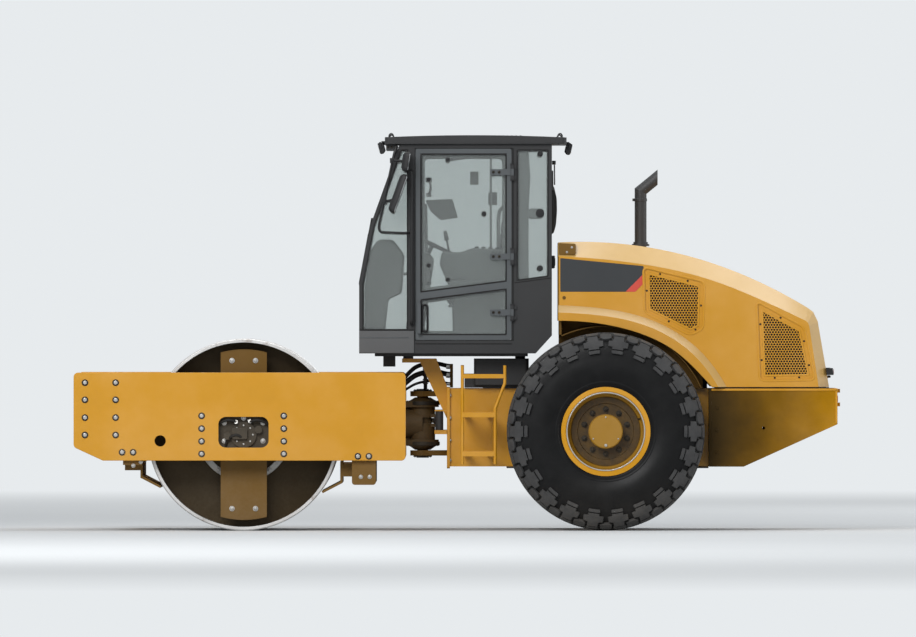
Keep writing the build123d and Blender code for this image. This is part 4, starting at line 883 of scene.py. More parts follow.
# Each lug's outline: distance along the tread line, half its width
CROWN_LUG = (
    (0.030, 0.030), (0.095, 0.036), (0.101, 0.066), (0.150, 0.068),
    (0.157, 0.048), (0.205, 0.048), (0.226, 0.040),
)
SHOULDER_LUG = (
    (0.240, 0.042), (0.288, 0.046), (0.293, 0.086),
    (0.338, 0.090), (0.343, 0.050), (0.362, 0.049),
)
WALL_LUG = ((0.370, 0.052), (0.380, 0.054), (0.398, 0.050))
MIDDLE_LUG = ((-0.040, 0.010), (-0.018, 0.036), (0.018, 0.036), (0.040, 0.010))
BUTTON_LUG = ((0.052, 0.016), (0.070, 0.030), (0.120, 0.030), (0.140, 0.016))
EDGE_LUG = ((0.196, 0.020), (0.205, 0.046), (0.262, 0.048), (0.276, 0.020))


def tyre(side, word):
    """One lugged tyre: turned carcass with moulded rings, and tread lugs over both shoulders."""
    centre = Vector((wheel_axis.x, side * wheel_out, wheel_axis.z))
    half = [tread_point(reach, LUG_DEPTH) for reach in (0.0, 0.1, 0.17, 0.215, 0.25, 0.29, 0.325, 0.37)]
    half += WALL_LINE
    profile = [(-out, radius) for out, radius in reversed(half)] + half[1:]
    shape = bmesh.new()
    rings = [
        [shape.verts.new((x, centre.y + side * out, z)) for x, z in circle_of((centre.x, centre.z), radius, 132)]
        for out, radius in profile
    ]
    join_rings(shape, rings)
    carcass = piece_from(f"tyre_carcass_{word}", shape, "tyre", f"wheel_{word}", smooth=28)
    shape = bmesh.new()
    count = 22
    pitch = math.tau / count
    for index in range(count):
        for half_side, shift in ((-1, 0.0), (1, pitch / 2)):
            angle = -math.pi / 2 + index * pitch + shift
            for outline, turn, depth in (
                (CROWN_LUG, 0.0, LUG_DEPTH),
                (SHOULDER_LUG, 0.0, LUG_DEPTH),
                (WALL_LUG, 0.0, WALL_LUG_DEPTH),
                (BUTTON_LUG, pitch / 2, LUG_DEPTH),
                (EDGE_LUG, pitch / 2, LUG_DEPTH),
            ):
                stations = [(half_side * reach, width) for reach, width in outline]
                add_lug(shape, centre, angle + turn, side, stations, depth)
        for share in (0.25, 0.75):
            add_lug(shape, centre, -math.pi / 2 + (index + share) * pitch, side, MIDDLE_LUG, LUG_DEPTH)
    lugs = piece_from(f"tyre_lugs_{word}", shape, "lug", f"wheel_{word}", smooth=30, bevel=0.003)
    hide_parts(f"tyre_{word}")
    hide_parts(f"tyre_{word}")


def wheel_nuts(side, word):
    """Ten studs with nuts round the hub, the hub's plug, the rim's lock ring and valve."""
    body = f"wheel_{word}"
    out = Vector((0, side, 0))
    axle = (wheel_axis.x, wheel_axis.z)
    nut_face, cap_face = side * 0.945, side * 1.075
    shape = bmesh.new()
    for along, height in circle_of(axle, 0.179, 10, math.pi / 2):
        spot = Vector((along, nut_face, height))
        add_rod(shape, spot, out, 0.024, 0.006, 20)
        add_rod(shape, spot + out * 0.006, out, 0.018, 0.020, 6)
        add_rod(shape, spot + out * 0.026, out, 0.010, 0.014, 12, 0.008)
    piece_from(f"wheel_nuts_{word}", shape, "black_bolt", body, smooth=25)
    shape = bmesh.new()
    add_rod(shape, (wheel_axis.x, cap_face, wheel_axis.z - 0.110), out, 0.013, 0.010, 6)
    for along, height in circle_of(axle, 0.115, 3, math.pi / 2):
        add_bolt(shape, (along, cap_face, height), out, 0.007, False)
    piece_from(f"hub_plugs_{word}", shape, "zinc", body, smooth=25)
    shape = bmesh.new()
    split_ring = circle_of(axle, 0.313, 96)[:-1]
    add_ring_plate(shape, split_ring, -0.007, 0.004, 1.088, 1.101, on_side(side))
    piece_from(f"lock_ring_{word}", shape, "zinc", body, bevel=0.002)
    valve = Vector((wheel_axis.x + 0.262, side * 0.962, wheel_axis.z + 0.10))
    route = [valve, valve + Vector((0.004, side * 0.03, 0.0)), valve + Vector((0.022, side * 0.06, 0.008))]
    tube_piece(f"valve_{word}", route, 0.006, "black_bolt", body)


# Hood

GRILLE_SIDE = (
    [(1.493, 2.096), (1.502, 1.750), (1.862, 1.572), (1.956, 1.620), (1.965, 1.982)],
    [(2.401, 1.818), (2.425, 1.205), (2.848, 1.213), (2.764, 1.620)],
)


def inside(point, outline):
    """Whether a flat point lies inside a closed outline."""
    within = False
    for (ax, ay), (bx, by) in zip(outline, outline[1:] + outline[:1]):
        if (ay > point[1]) != (by > point[1]):
            if point[0] < (bx - ax) * (point[1] - ay) / (by - ay) + ax:
                within = not within
    return within


def add_perforated(shape, outline, depth, place):
    """Adds a perforated sheet inside an outline: a honeycomb of cells with a round hole in each."""
    pitch, hole, thickness, steps = 0.0225, 0.0088, 0.003, 12
    half_turn = math.pi / 6
    low_u, low_v = (min(values) for values in zip(*outline))
    high_u, high_v = (max(values) for values in zip(*outline))
    row_pitch = pitch * math.sqrt(3) / 2
    rows = int((high_v - low_v) / row_pitch) + 1
    columns = int((high_u - low_u) / pitch) + 1
    corner_reach = pitch / math.sqrt(3)
    for row in range(rows):
        for column in range(columns):
            u = low_u + column * pitch + (pitch / 2 if row % 2 else 0)
            v = low_v + row * pitch * math.sqrt(3) / 2
            if not inside((u, v), outline):
                continue
            rings = [[], [], []]
            for step in range(steps):
                angle = math.tau * step / steps + half_turn
                reach = corner_reach if step % 2 == 0 else corner_reach * math.cos(half_turn)
                hole_u, hole_v = u + hole * math.cos(angle), v + hole * math.sin(angle)
                rings[0].append(
                    shape.verts.new(place(u + reach * math.cos(angle), v + reach * math.sin(angle), depth))
                )
                rings[1].append(shape.verts.new(place(hole_u, hole_v, depth)))
                rings[2].append(shape.verts.new(place(hole_u, hole_v, depth - thickness)))
            join_rings(shape, rings, False)


def side_grilles():
    """Perforated grilles behind the hood's side openings, with pressed borders and bolts."""
    made = []
    border_face = hood_face - 0.0085
    for side, word in SIDE_WORDS:
        place = on_side(side)
        for index, outline in enumerate(GRILLE_SIDE):
            tag = f"{index}_{word}"
            shape = bmesh.new()
            add_perforated(shape, moved_outline(outline, -0.030), hood_face - 0.006, place)
            bmesh.ops.remove_doubles(shape, verts=shape.verts, dist=0.0004)
            made.append(piece_from(f"grille_mesh_{tag}", shape, "yellow", "hood", smooth=0))
            shape = bmesh.new()
            add_ring_plate(shape, outline, -0.040, 0.010, hood_face - 0.014, border_face, place)
            add_ring_plate(shape, outline, -0.040, -0.026, border_face, hood_face - 0.0035, place)
            made.append(piece_from(f"grille_border_{tag}", shape, "yellow", "hood", bevel=0.0015))
            shape = bmesh.new()
            lip = rounded_outline(moved_outline(outline, 0.008), 0.045, 6)
            add_ring_plate(shape, lip, -0.006, 0.010, hood_face - 0.002, hood_face + 0.0045, place)
            made.append(piece_from(f"grille_lip_{tag}", shape, "yellow", "hood", smooth=50, bevel=0.003))
            ring = moved_outline(outline, -0.014)
            spots = []
            for (ax, az), (bx, bz) in zip(ring, ring[1:] + ring[:1]):
                steps = max(1, round(math.hypot(bx - ax, bz - az) / 0.26))
                for step in range(steps):
                    share = (step + 0.5) / steps
                    spots.append((ax + (bx - ax) * share, az + (bz - az) * share))
            side_bolts(f"grille_bolts_{index}", side, word, spots, border_face, "hood", 0.0055, "black_bolt")
    return made


def rear_grille():
    """Perforated grille in the hood's sloped rear face, in a raised border."""
    low, high = 1.275, 1.558
    lean = 0.1716
    slope = Vector((-lean, 0, 1)).normalized()
    out = Vector((1, 0, lean)).normalized()
    foot = Vector((hood_high.x - lean * (low - hood_low.z), 0, low))

    def place(u, v, depth):
        return foot + Vector((0, u, 0)) + slope * v + out * (depth - 0.007)

    span = (high - low) / slope.z
    outline = [(-0.452, 0.0), (0.452, 0.0), (0.452, span), (-0.452, span)]
    shape = bmesh.new()
    add_perforated(shape, moved_outline(outline, -0.018), 0.0, place)
    bmesh.ops.remove_doubles(shape, verts=shape.verts, dist=0.0004)
    mesh = piece_from("rear_grille_mesh", shape, "yellow", "hood", smooth=0)
    shape = bmesh.new()
    add_ring_plate(shape, outline, -0.024, 0.006, -0.004, 0.004, place)
    border = piece_from("rear_grille_border", shape, "yellow", "hood", bevel=0.0015)
    return [mesh, border]


def hood_panels():
    """Blank dark panel with its red corner on each side."""
    dark = [(0.819, 2.180), (1.486, 2.116), (1.486, 1.977), (1.420, 1.910), (0.819, 1.910)]
    dark = rounded_outline(dark, 0.008)
    red = [(1.486, 2.054), (1.486, 1.977), (1.420, 1.910), (1.342, 1.910)]
    dark_low, dark_high = hood_face + 0.0003, hood_face + 0.0012
    red_low, red_high = hood_face + 0.0013, hood_face + 0.002
    for side, word in SIDE_WORDS:
        plate_piece(f"dark_panel_{word}", dark, dark_low, dark_high, on_side(side), "decal", "hood")
        plate_piece(f"red_corner_{word}", red, red_low, red_high, on_side(side), "stripe", "hood")


def hood_trim():
    """Seal along the hood's foot, hood latches, handle, and the seam of its front edge."""
    seam = rectangle(0.8055, 1.72, 0.8095, 2.19)
    for side, word in SIDE_WORDS:
        seal = ((2.512, side * 0.766, hood_low.z - 0.0045), (0.92, 0.018, 0.007))
        block_piece(f"hood_seal_{word}", [seal], "rubber", "rear_frame", bevel=0.002)
        shape = bmesh.new()
        add_rod(shape, (0.850, side * hood_face, 1.862), (0, side, 0), 0.014, 0.003, 28)
        add_rod(shape, (0.850, side * (hood_face + 0.003), 1.862), (0, side, 0), 0.007, 0.003, 6)
        piece_from(f"hood_lock_{word}", shape, "shaded", "hood")
        low, high = hood_face + 0.0002, hood_face + 0.0008
        plate_piece(f"front_seam_{word}", seam, low, high, on_side(side), "rubber", "hood")
    shape = bmesh.new()
    for side in SIDES:
        add_rod(shape, (hood_high.x - 0.035, side * 0.16, 1.222), (1, 0, 0.17), 0.010, 0.05, 16)
    add_rod(shape, (hood_high.x + 0.012, -0.172, 1.229), (0, 1, 0), 0.010, 0.344, 16)
    piece_from("hood_handle", shape, "plastic", "hood", bevel=0.002)


def exhaust_trim():
    """Collar at the stack's foot and a clamp below its elbow."""
    low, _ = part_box("exhaust")
    centre = (low.x + 0.048, 0.300)
    circle = circle_of(centre, 0.0485, 48)
    shape = bmesh.new()
    for base, height, reach in ((2.279, 0.018, 0.022), (2.297, 0.016, 0.010), (2.640, 0.024, 0.004)):
        add_ring_plate(shape, circle, 0.0003, reach, base, base + height, flat_on_top)
    add_block(shape, (centre[0] - 0.058, centre[1], 2.652), (0.016, 0.02, 0.022))
    piece_from("stack_collar", shape, "stack", "hood", bevel=0.002)


def hood_corner_covers():
    """Bolted cover over each hinge at the hood's front corners."""
    outline = rounded_outline([(0.808, 2.206), (0.808, 2.300), (0.944, 2.294), (0.944, 2.206)], 0.012)
    cover_face = hood_face - 0.004
    for side, word in SIDE_WORDS:
        plate_piece(
            f"corner_cover_{word}", outline, 0.640, cover_face, on_side(side), "shaded", "hood", bevel=0.004
        )
        side_bolts("corner_bolts", side, word, [(0.912, 2.266), (0.872, 2.228)], cover_face, "hood", 0.006)


def grille_linings():
    """Black sound lining behind each grille, which also stands as painted shade for the hood's dark inside, so no
    daylight shows through the hood.
    """
    for side, word in SIDE_WORDS:
        shape = bmesh.new()
        for outline in GRILLE_SIDE:
            add_prism(shape, moved_outline(outline, 0.006), 0.735, 0.745, on_side(side))
        piece_from(f"side_lining_{word}", shape, "rubber", "hood")
    lining = ((hood_high.x - 0.115, 0, 1.42), (0.008, 0.95, 0.34), Matrix.Rotation(-0.17, 4, "Y"))
    block_piece("rear_lining", [lining], "rubber", "hood")


# Cab

DOOR_PANES = (
    [(-0.302, 1.903), (-0.302, 3.018), (0.391, 3.018), (0.391, 1.991)],
    [(-0.302, 1.562), (-0.302, 1.850), (0.391, 1.938), (0.391, 1.562)],
)
FRONT_PANE = [(-0.766, 1.602), (-0.766, 1.970), (-0.678, 2.435), (-0.457, 3.050), (-0.400, 3.050), (-0.400, 1.602)]
REAR_PANE = [(0.470, 1.997), (0.470, 3.050), (0.726, 3.050), (0.726, 2.032)]
GLASS_OUT = 0.782
DOOR_OUT = 0.804


def cab_seals():
    """Black rubber round every pane of the doors and of the cab's sides, and in the doors' gaps."""
    low, door_high, cab_high = GLASS_OUT + 0.0005, DOOR_OUT + 0.001, cab_face + 0.0012
    gap = rounded_outline(rectangle(-0.346, 1.518, hinge_x, 3.062), 0.016)
    for side, word in SIDE_WORDS:
        place = on_side(side)
        shape = bmesh.new()
        for outline in DOOR_PANES:
            add_ring_plate(shape, rounded_outline(outline, 0.02), -0.012, 0.001, low, door_high, place)
        piece_from(f"door_seals_{word}", shape, "rubber", f"door_{word[0]}", bevel=0.002)
        shape = bmesh.new()
        for outline in (FRONT_PANE, REAR_PANE):
            add_ring_plate(shape, rounded_outline(outline, 0.012), -0.010, 0.001, low, cab_high, place)
        piece_from(f"pane_seals_{word}", shape, "rubber", "rear_frame", bevel=0.002)
        shape = bmesh.new()
        add_ring_plate(shape, gap, -0.0045, 0.006, 0.757, 0.7995, place)
        add_block(shape, (0.4385, side * (cab_face + 0.001), 2.29), (0.016, 0.005, 1.545))
        piece_from(f"doorway_seal_{word}", shape, "rubber", "rear_frame", smooth=0)


def cab_linings():
    """Grey inner frames behind the door's glass, and the lining of the rear pillars."""
    low, high = 0.7605, 0.7725
    pillar = [(0.472, 2.010), (0.472, 3.045), (0.566, 3.045), (0.580, 2.830), (0.566, 2.560), (0.566, 2.020)]
    arm = rounded_outline(rectangle(0.560, 2.500, 0.690, 2.578), 0.036)
    for side, word in SIDE_WORDS:
        place = on_side(side)
        shape = bmesh.new()
        for outline in DOOR_PANES:
            inner = rounded_outline(moved_outline(outline, -0.034), 0.035)
            outer = rounded_outline(moved_outline(outline, -0.0005), 0.035)
            rings = [
                [shape.verts.new(place(u, v, depth)) for u, v in points]
                for points, depth in ((inner, low), (outer, low), (outer, high), (inner, high))
            ]
            join_rings(shape, rings)
        piece_from(f"door_lining_{word}", shape, "lining", f"door_{word[0]}", bevel=0.003)
        shape = bmesh.new()
        add_prism(shape, pillar, 0.690, 0.7715, place)
        add_prism(shape, arm, 0.745, 0.7715, place)
        piece_from(f"pillar_lining_{word}", shape, "lining", "rear_frame", bevel=0.004)


def add_arc_handle(shape, side, along, low, high, out):
    """Adds a bowed bar that stands off a pane at both ends."""
    steps, reach, radius = 10, 0.045, 0.009
    spots = []
    for step in range(steps + 1):
        share = step / steps
        bow = reach * math.sin(math.pi * share)
        spots.append(Vector((along + 0.35 * bow, side * (out - bow), low + (high - low) * share)))
    add_bent_bar(shape, spots, radius, 1.08, 12)


def door_fittings():
    """Door handle, straps of the hinges, inner catches and the knobs and stays of the glass."""
    plate = rounded_outline(rectangle(-0.296, 1.584, -0.236, 1.812), 0.028)
    grip = moved_outline(plate, -0.004)
    handle_face, stay_out, catch_x = 0.797, 0.758, -0.235
    for side, word in SIDE_WORDS:
        door = f"door_{word[0]}"
        out = (0, side, 0)
        shape = bmesh.new()
        add_ring_plate(shape, plate, -0.017, 0.0, GLASS_OUT + 0.0005, handle_face, on_side(side))
        add_ring_plate(shape, grip, -0.009, 0.0, handle_face, 0.818, on_side(side))
        piece_from(f"door_handle_{word}", shape, "plastic", door, bevel=0.004)
        shape = bmesh.new()
        for height in hinge_heights:
            for along in (0.283, 0.330):
                add_bolt(shape, (along, side * 0.816, height), out, 0.008, True)
        piece_from(f"strap_bolts_{word}", shape, "black_bolt", door)
        shape = bmesh.new()
        for height in hinge_heights:
            for step in (-0.062, 0.062):
                add_rod(shape, (hinge_x, side * 0.822, height + step - 0.006), UP, 0.0165, 0.012, 20)
        piece_from(f"hinge_caps_{word}", shape, "plastic", "rear_frame")
        shape = bmesh.new()
        for low, high in ((2.690, 2.810), (1.980, 2.122)):
            add_arc_handle(shape, side, catch_x, low, high, 0.772)
            add_block(shape, (catch_x, side * 0.768, high), (0.05, 0.008, 0.03))
            add_block(shape, (catch_x, side * 0.768, low), (0.04, 0.008, 0.024))
        piece_from(f"door_catches_{word}", shape, "plastic", door, bevel=0.002)
        shape = bmesh.new()
        for spot, end in (((-0.082, 2.968), (0.100, 2.996)), ((-0.082, 2.008), (0.060, 2.014))):
            add_rod(shape, (spot[0], side * stay_out, spot[1]), out, 0.021, 0.016, 24)
            direction = Vector((end[0] - spot[0], 0, end[1] - spot[1]))
            add_rod(shape, (spot[0], side * 0.762, spot[1]), direction, 0.006, direction.length, 10)
        add_rod(shape, (0.208, side * stay_out, 2.536), out, 0.021, 0.016, 24)
        piece_from(f"glass_stays_{word}", shape, "plastic", door, bevel=0.001)
        shape = bmesh.new()
        caps = ((catch_x, 2.810, 0.017), (catch_x, 2.122, 0.017), (-0.082, 2.968, 0.016), (-0.082, 2.008, 0.016))
        for along, height, radius in (*caps, (0.208, 2.536, 0.018)):
            add_rod(shape, (along, side * GLASS_OUT, height), out, radius, 0.007, 24, radius * 0.8)
        piece_from(f"glass_caps_{word}", shape, "plastic", door, smooth=25)


def window_knobs():
    """Round fasteners that hold each rear side pane."""
    for side, word in SIDE_WORDS:
        out = Vector((0, side, 0))
        shape = bmesh.new()
        for along, height, radius in ((0.658, 3.015, 0.022), (0.657, 2.539, 0.034), (0.657, 2.098, 0.024)):
            spot = Vector((along, side * GLASS_OUT, height))
            add_rod(shape, spot, out, radius, 0.008, 28)
            add_rod(shape, spot + out * 0.008, out, radius * 0.6, 0.007, 20)
        piece_from(f"window_knobs_{word}", shape, "plastic", "rear_frame", bevel=0.0015)


def roof_trim():
    """Gutter along the roof's sides, bolts of its front box, vents and four lifting eyes."""
    gutters = [((0.142, side * 0.8325, roof_low.z + 0.050), (1.40, 0.007, 0.008)) for side in SIDES]
    block_piece("roof_gutters", gutters, "charcoal", "rear_frame", bevel=0.002)
    for side, word in SIDE_WORDS:
        spots = [(along, 3.070) for along in (-0.560, -0.532, -0.504)]
        side_bolts("roof_box_bolts", side, word, spots, 0.780, "rear_frame", 0.006, "black_bolt")
    shape = bmesh.new()
    for side in SIDES:
        for along in (-0.535, 0.818):
            base = Vector((along, side * 0.700, 3.140))
            add_block(shape, base, (0.05, 0.05, 0.02))
            angles = [math.pi * step / 8 for step in range(9)]
            eye = [base + Vector((0.018 * math.cos(turn), 0, 0.012 + 0.026 * math.sin(turn))) for turn in angles]
            add_bent_bar(shape, eye, 0.006, 1.1, 10)
    piece_from("lifting_eyes", shape, "charcoal", "rear_frame", bevel=0.001)
    turn = Matrix.Rotation(0.35, 4, "Y")
    vents = [
        ((0.30 + index * 0.034, across, 3.160), (0.016, 0.24, 0.010), turn)
        for across in (-0.36, 0.0, 0.36)
        for index in range(7)
    ]
    block_piece("roof_vents", vents, "plastic", "rear_frame", bevel=0.001)


def lamp_pieces(name, centre, tilt, face):
    """One work lamp: ribbed housing, lens in its bezel, and the yoke on the roof's edge."""
    turn = Matrix.Translation(Vector(centre)) @ Matrix.Rotation(tilt, 4, "Y") @ Matrix.Diagonal((face, 1, 1, 1))

    def place(u, v, depth):
        return turn @ Vector((u, depth, v))

    def in_front(u, v, depth):
        return turn @ Vector((depth, u, v))

    shape = bmesh.new()
    outline = [
        (0.022, -0.040), (0.022, 0.040), (-0.004, 0.042),
        (-0.022, 0.026), (-0.022, -0.026), (-0.004, -0.042),
    ]
    add_prism(shape, rounded_outline(outline, 0.008), -0.072, 0.072, place)
    fin_outline = [(-0.018, -0.030), (-0.018, 0.030), (-0.0255, 0.022), (-0.0255, -0.022)]
    for fin in range(5):
        depth = -0.052 + fin * 0.026
        add_prism(shape, fin_outline, depth - 0.003, depth + 0.003, place)
    for end in (-0.0745, 0.0745):
        add_prism(shape, rectangle(-0.008, -0.008, 0.008, 0.046), end - 0.002, end + 0.002, place)
    housing = piece_from(f"{name}_housing", shape, "plastic", "rear_frame", bevel=0.002)
    border = rounded_outline(rectangle(-0.064, -0.034, 0.064, 0.034), 0.012)
    lens = plate_piece(
        f"{name}_lens", border, 0.0215, 0.0245, in_front, "clear_lens", "rear_frame", bevel=0.001
    )
    return [housing, lens]


def work_lamps():
    """Four work lamps under the roof's edges, with their brackets."""
    made = []
    brackets = []
    for side, word in SIDE_WORDS:
        across = side * lamp_out
        made += lamp_pieces(f"front_lamp_{word}", (-0.614, across, 3.066), math.radians(-15), -1)
        made += lamp_pieces(f"rear_lamp_{word}", (0.888, across, 3.058), math.radians(12), 1)
        brackets += [
            ((-0.599, across, 3.107), (0.030, 0.060, 0.022)),
            ((0.881, across, 3.101), (0.024, 0.060, 0.020)),
            ((-0.602, across, 3.108), (0.012, 0.152, 0.012)),
            ((0.880, across, 3.102), (0.012, 0.152, 0.012)),
        ]
    made.append(block_piece("lamp_brackets", brackets, "plastic", "rear_frame", bevel=0.002))
    for piece in made:
        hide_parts("lamps")


def door_mirrors():
    """Two mirror heads on a bent guard tube at each front corner."""
    upper = ((-0.492, 0.806, 3.084), (-0.505, 0.880, 3.040), (-0.516, mirror_out, 2.996))
    outer = ((-0.540, 2.880), (-0.620, 2.500), (-0.636, 2.440), (-0.628, 2.392), (-0.600, 2.386), (-0.470, 2.381))
    lower = ((-0.430, 0.915, 2.380), (-0.373, 0.802, 2.380))
    guard = (*upper, *((along, mirror_out, height) for along, height in outer), *lower)
    heads = ((-0.484, 2.700, 20, 0.190, 0.330), (-0.420, 2.952, 8, 0.170, 0.164))
    depth = 0.056
    for side, word in SIDE_WORDS:
        route = [(along, side * out, height) for along, out, height in guard]
        made = [tube_piece(f"mirror_guard_{word}", route, 0.010, "plastic", "rear_frame")]
        shape = bmesh.new()
        glass = bmesh.new()
        for along, up, tilt, width, height in heads:
            centre = Vector((along, side * mirror_out, up))
            turn = Matrix.Translation(centre) @ Matrix.Rotation(math.radians(tilt), 4, "Y")

            def place(u, v, step, turn=turn):
                return turn @ Vector((step, u, v))

            border = rounded_outline(rectangle(-width / 2, -height / 2, width / 2, height / 2), 0.035)
            layers = ((-depth / 2, -0.030), (-depth / 2 + 0.012, -0.012), (0.0, -0.003), (depth / 2 - 0.002, 0.0))
            rings = [
                [shape.verts.new(place(u, v, step)) for u, v in moved_outline(border, inset)]
                for step, inset in layers
            ]
            join_rings(shape, rings, False)
            shape.faces.new(rings[0])
            shape.faces.new(rings[-1])
            add_prism(glass, moved_outline(border, -0.012), depth / 2 - 0.002, depth / 2, place)
        made.append(piece_from(f"mirror_heads_{word}", shape, "plastic", "rear_frame", smooth=40, bevel=0.003))
        made.append(piece_from(f"mirror_faces_{word}", glass, "mirror", "rear_frame"))
        shape = bmesh.new()
        for start, end in (((-0.588, 2.632), (-0.500, 2.650)), ((-0.528, 2.960), (-0.440, 2.956))):
            spot = Vector((start[0], side * mirror_out, start[1]))
            direction = Vector((end[0] - start[0], 0, end[1] - start[1]))
            add_rod(shape, spot, direction, 0.010, direction.length, 16)
            add_block(shape, spot, (0.034, 0.032, 0.040))
            add_bolt(shape, spot + Vector((0, side * 0.016, 0)), (0, side, 0), 0.007)
        made.append(piece_from(f"mirror_clamps_{word}", shape, "plastic", "rear_frame", bevel=0.002))
        for piece in made:
            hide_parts("mirrors")


def rear_wall_trim():
    """Cover of the rear wiper's drive, the wiper, and brackets on the cab's rear wall."""
    outline = [
        (0.752, 2.374), (0.752, 2.770), (0.772, 2.756), (0.794, 2.660),
        (0.796, 2.560), (0.788, 2.450), (0.770, 2.384),
    ]
    outline = rounded_outline(outline, 0.02)
    plate_piece("rear_cover", outline, -0.17, 0.17, across_machine, "charcoal", "rear_frame", bevel=0.008)
    shape = bmesh.new()
    for side in SIDES:
        add_block(shape, (0.764, side * 0.690, 2.150), (0.024, 0.060, 0.100))
        add_rod(shape, (0.768, side * 0.690, 2.120), UP, 0.012, 0.060, 16)
    piece_from("rear_brackets", shape, "plastic", "rear_frame", bevel=0.003)
    shape = bmesh.new()
    add_rod(shape, (0.757, 0.10, 2.95), (1, 0, 0), 0.016, 0.030, 20)
    add_rod(shape, (0.776, 0.10, 2.95), (0, -0.75, -0.35), 0.006, 0.42, 10)
    add_block(shape, (0.760, -0.24, 2.80), (0.012, 0.42, 0.016), Matrix.Rotation(math.radians(22), 4, "X"))
    piece_from("rear_wiper", shape, "plastic", "rear_frame", bevel=0.001)


def windscreen_wiper():
    """Wiper arm and blade that lie along the upper windscreen."""
    foot = Vector((-0.786, 0.05, 1.985))
    slope = Vector((0.088, 0, 0.465)).normalized()
    out = Vector((-slope.z, 0, slope.x))
    shape = bmesh.new()
    add_rod(shape, foot + Vector((0.012, 0, 0)), out, 0.020, 0.022, 24)
    arm = slope * 0.40 + Vector((0, -0.20, 0))
    add_rod(shape, foot + out * 0.006, arm, 0.006, arm.length, 10)
    turn = facing(arm)
    blade = Matrix.Translation(foot + out * 0.002 + arm * 0.80) @ turn @ Matrix.Diagonal((0.014, 0.010, 0.46, 1))
    bmesh.ops.create_cube(shape, size=1.0, matrix=blade)
    piece_from("windscreen_wiper", shape, "plastic", "rear_frame", bevel=0.001)


def skirt_trim():
    """Paler front skirt panels with their pressed line, and the dark strips under them."""
    skirt = rectangle(-0.7915, 1.420, -0.352, 1.598)
    seam = [(0.452, 1.986), (0.742, 2.024), (0.742, 2.016), (0.452, 1.978)]
    for side, word in SIDE_WORDS:
        place = on_side(side)
        high = cab_face + 0.003
        plate_piece(
            f"front_skirt_{word}", skirt, cab_face, high, place, "skirt_grey", "rear_frame", bevel=0.001
        )
        rib = ((-0.590, side * (cab_face + 0.004), 1.543), (0.390, 0.004, 0.007))
        block_piece(f"skirt_rib_{word}", [rib], "frame_grey", "rear_frame", bevel=0.001)
        seams = [
            ((-0.5715, side * (cab_face + 0.0035), 1.6045), (0.437, 0.006, 0.010)),
            ((-0.3505, side * (cab_face + 0.003), 1.510), (0.004, 0.005, 0.18)),
            ((0.045, side * (cab_face + 0.0025), 1.4945), (0.77, 0.004, 0.007)),
        ]
        block_piece(f"skirt_seams_{word}", seams, "rubber", "rear_frame")
        plate_piece(f"rear_pane_seam_{word}", seam, cab_face, cab_face + 0.0015, place, "rubber", "rear_frame")


def pad_form(name, size):
    """The filling of one pad about its own middle: a block with round edges, a little small."""
    shape = bmesh.new()
    bmesh.ops.create_cube(shape, size=1.0, matrix=Matrix.Diagonal((*[0.94 * side for side in size], 1)))
    bmesh.ops.bevel(
        shape, geom=list(shape.edges), offset=min(size) * 0.36, segments=4, profile=0.5, affect="EDGES"
    )
    return piece_from(name, shape, "cloth", "rear_frame", smooth=80)


PAD_VOXEL = 0.0085
PAD_PRESSURE = 4.0
PAD_FRAMES = 20
CHANNEL_DEPTH, CHANNEL_WIDTH = 0.010, 0.05
SEAM_DEPTH, SEAM_WIDTH = 0.004, 0.10


def swell_pads(pads, cap):
    """Blows the pads up as sewn cloth, with a cap on how far any point may move."""
    for pad in pads:
        voxels = pad.modifiers.new("voxels", "REMESH")
        voxels.mode = "VOXEL"
        voxels.voxel_size = PAD_VOXEL
        graph = bpy.context.evaluated_depsgraph_get()
        pad.data = bpy.data.meshes.new_from_object(pad.evaluated_get(graph))
        pad.modifiers.clear()
    for pad in pads:
        cloth = pad.modifiers.new("cover", "CLOTH")
        cloth.settings.use_pressure = True
        cloth.settings.uniform_pressure_force = PAD_PRESSURE
        cloth.settings.quality = 5
        cloth.settings.effector_weights.gravity = 0.0
    for number in range(1, PAD_FRAMES + 1):
        bpy.context.scene.frame_set(number)
    graph = bpy.context.evaluated_depsgraph_get()
    for pad in pads:
        swollen = bpy.data.meshes.new_from_object(pad.evaluated_get(graph))
        for vert, blown in zip(pad.data.vertices, swollen.vertices):
            step = blown.co - vert.co
            if step.length > cap:
                step = step.normalized() * cap
            vert.co += step
        pad.modifiers.clear()
    bpy.context.scene.frame_set(1)


def sew_pad(pad, size, placement, channels):
    """Sinks the sewn channels into a pad's top and its edge seam, and sets the pad in its place."""
    half = Vector(size) / 2
    for vert in pad.data.vertices:
        u, w = vert.co.x / half.x, vert.co.z / half.z
        if w > 0.3:
            for line in channels:
                vert.co.z -= CHANNEL_DEPTH * math.exp(-(((u - line) / CHANNEL_WIDTH) ** 2))
        seam = SEAM_DEPTH * math.exp(-((w / SEAM_WIDTH) ** 2))
        vert.co.x -= math.copysign(seam, vert.co.x) * (abs(u) > 0.8)
        vert.co.y -= math.copysign(seam, vert.co.y) * (abs(vert.co.y / half.y) > 0.8)
    pad.data.transform(placement)
    finish_piece(pad, "cloth", "rear_frame", smooth=80)
    layer = pad.modifiers.new("softness", "SUBSURF")
    layer.levels = 1
    layer.render_levels = 1


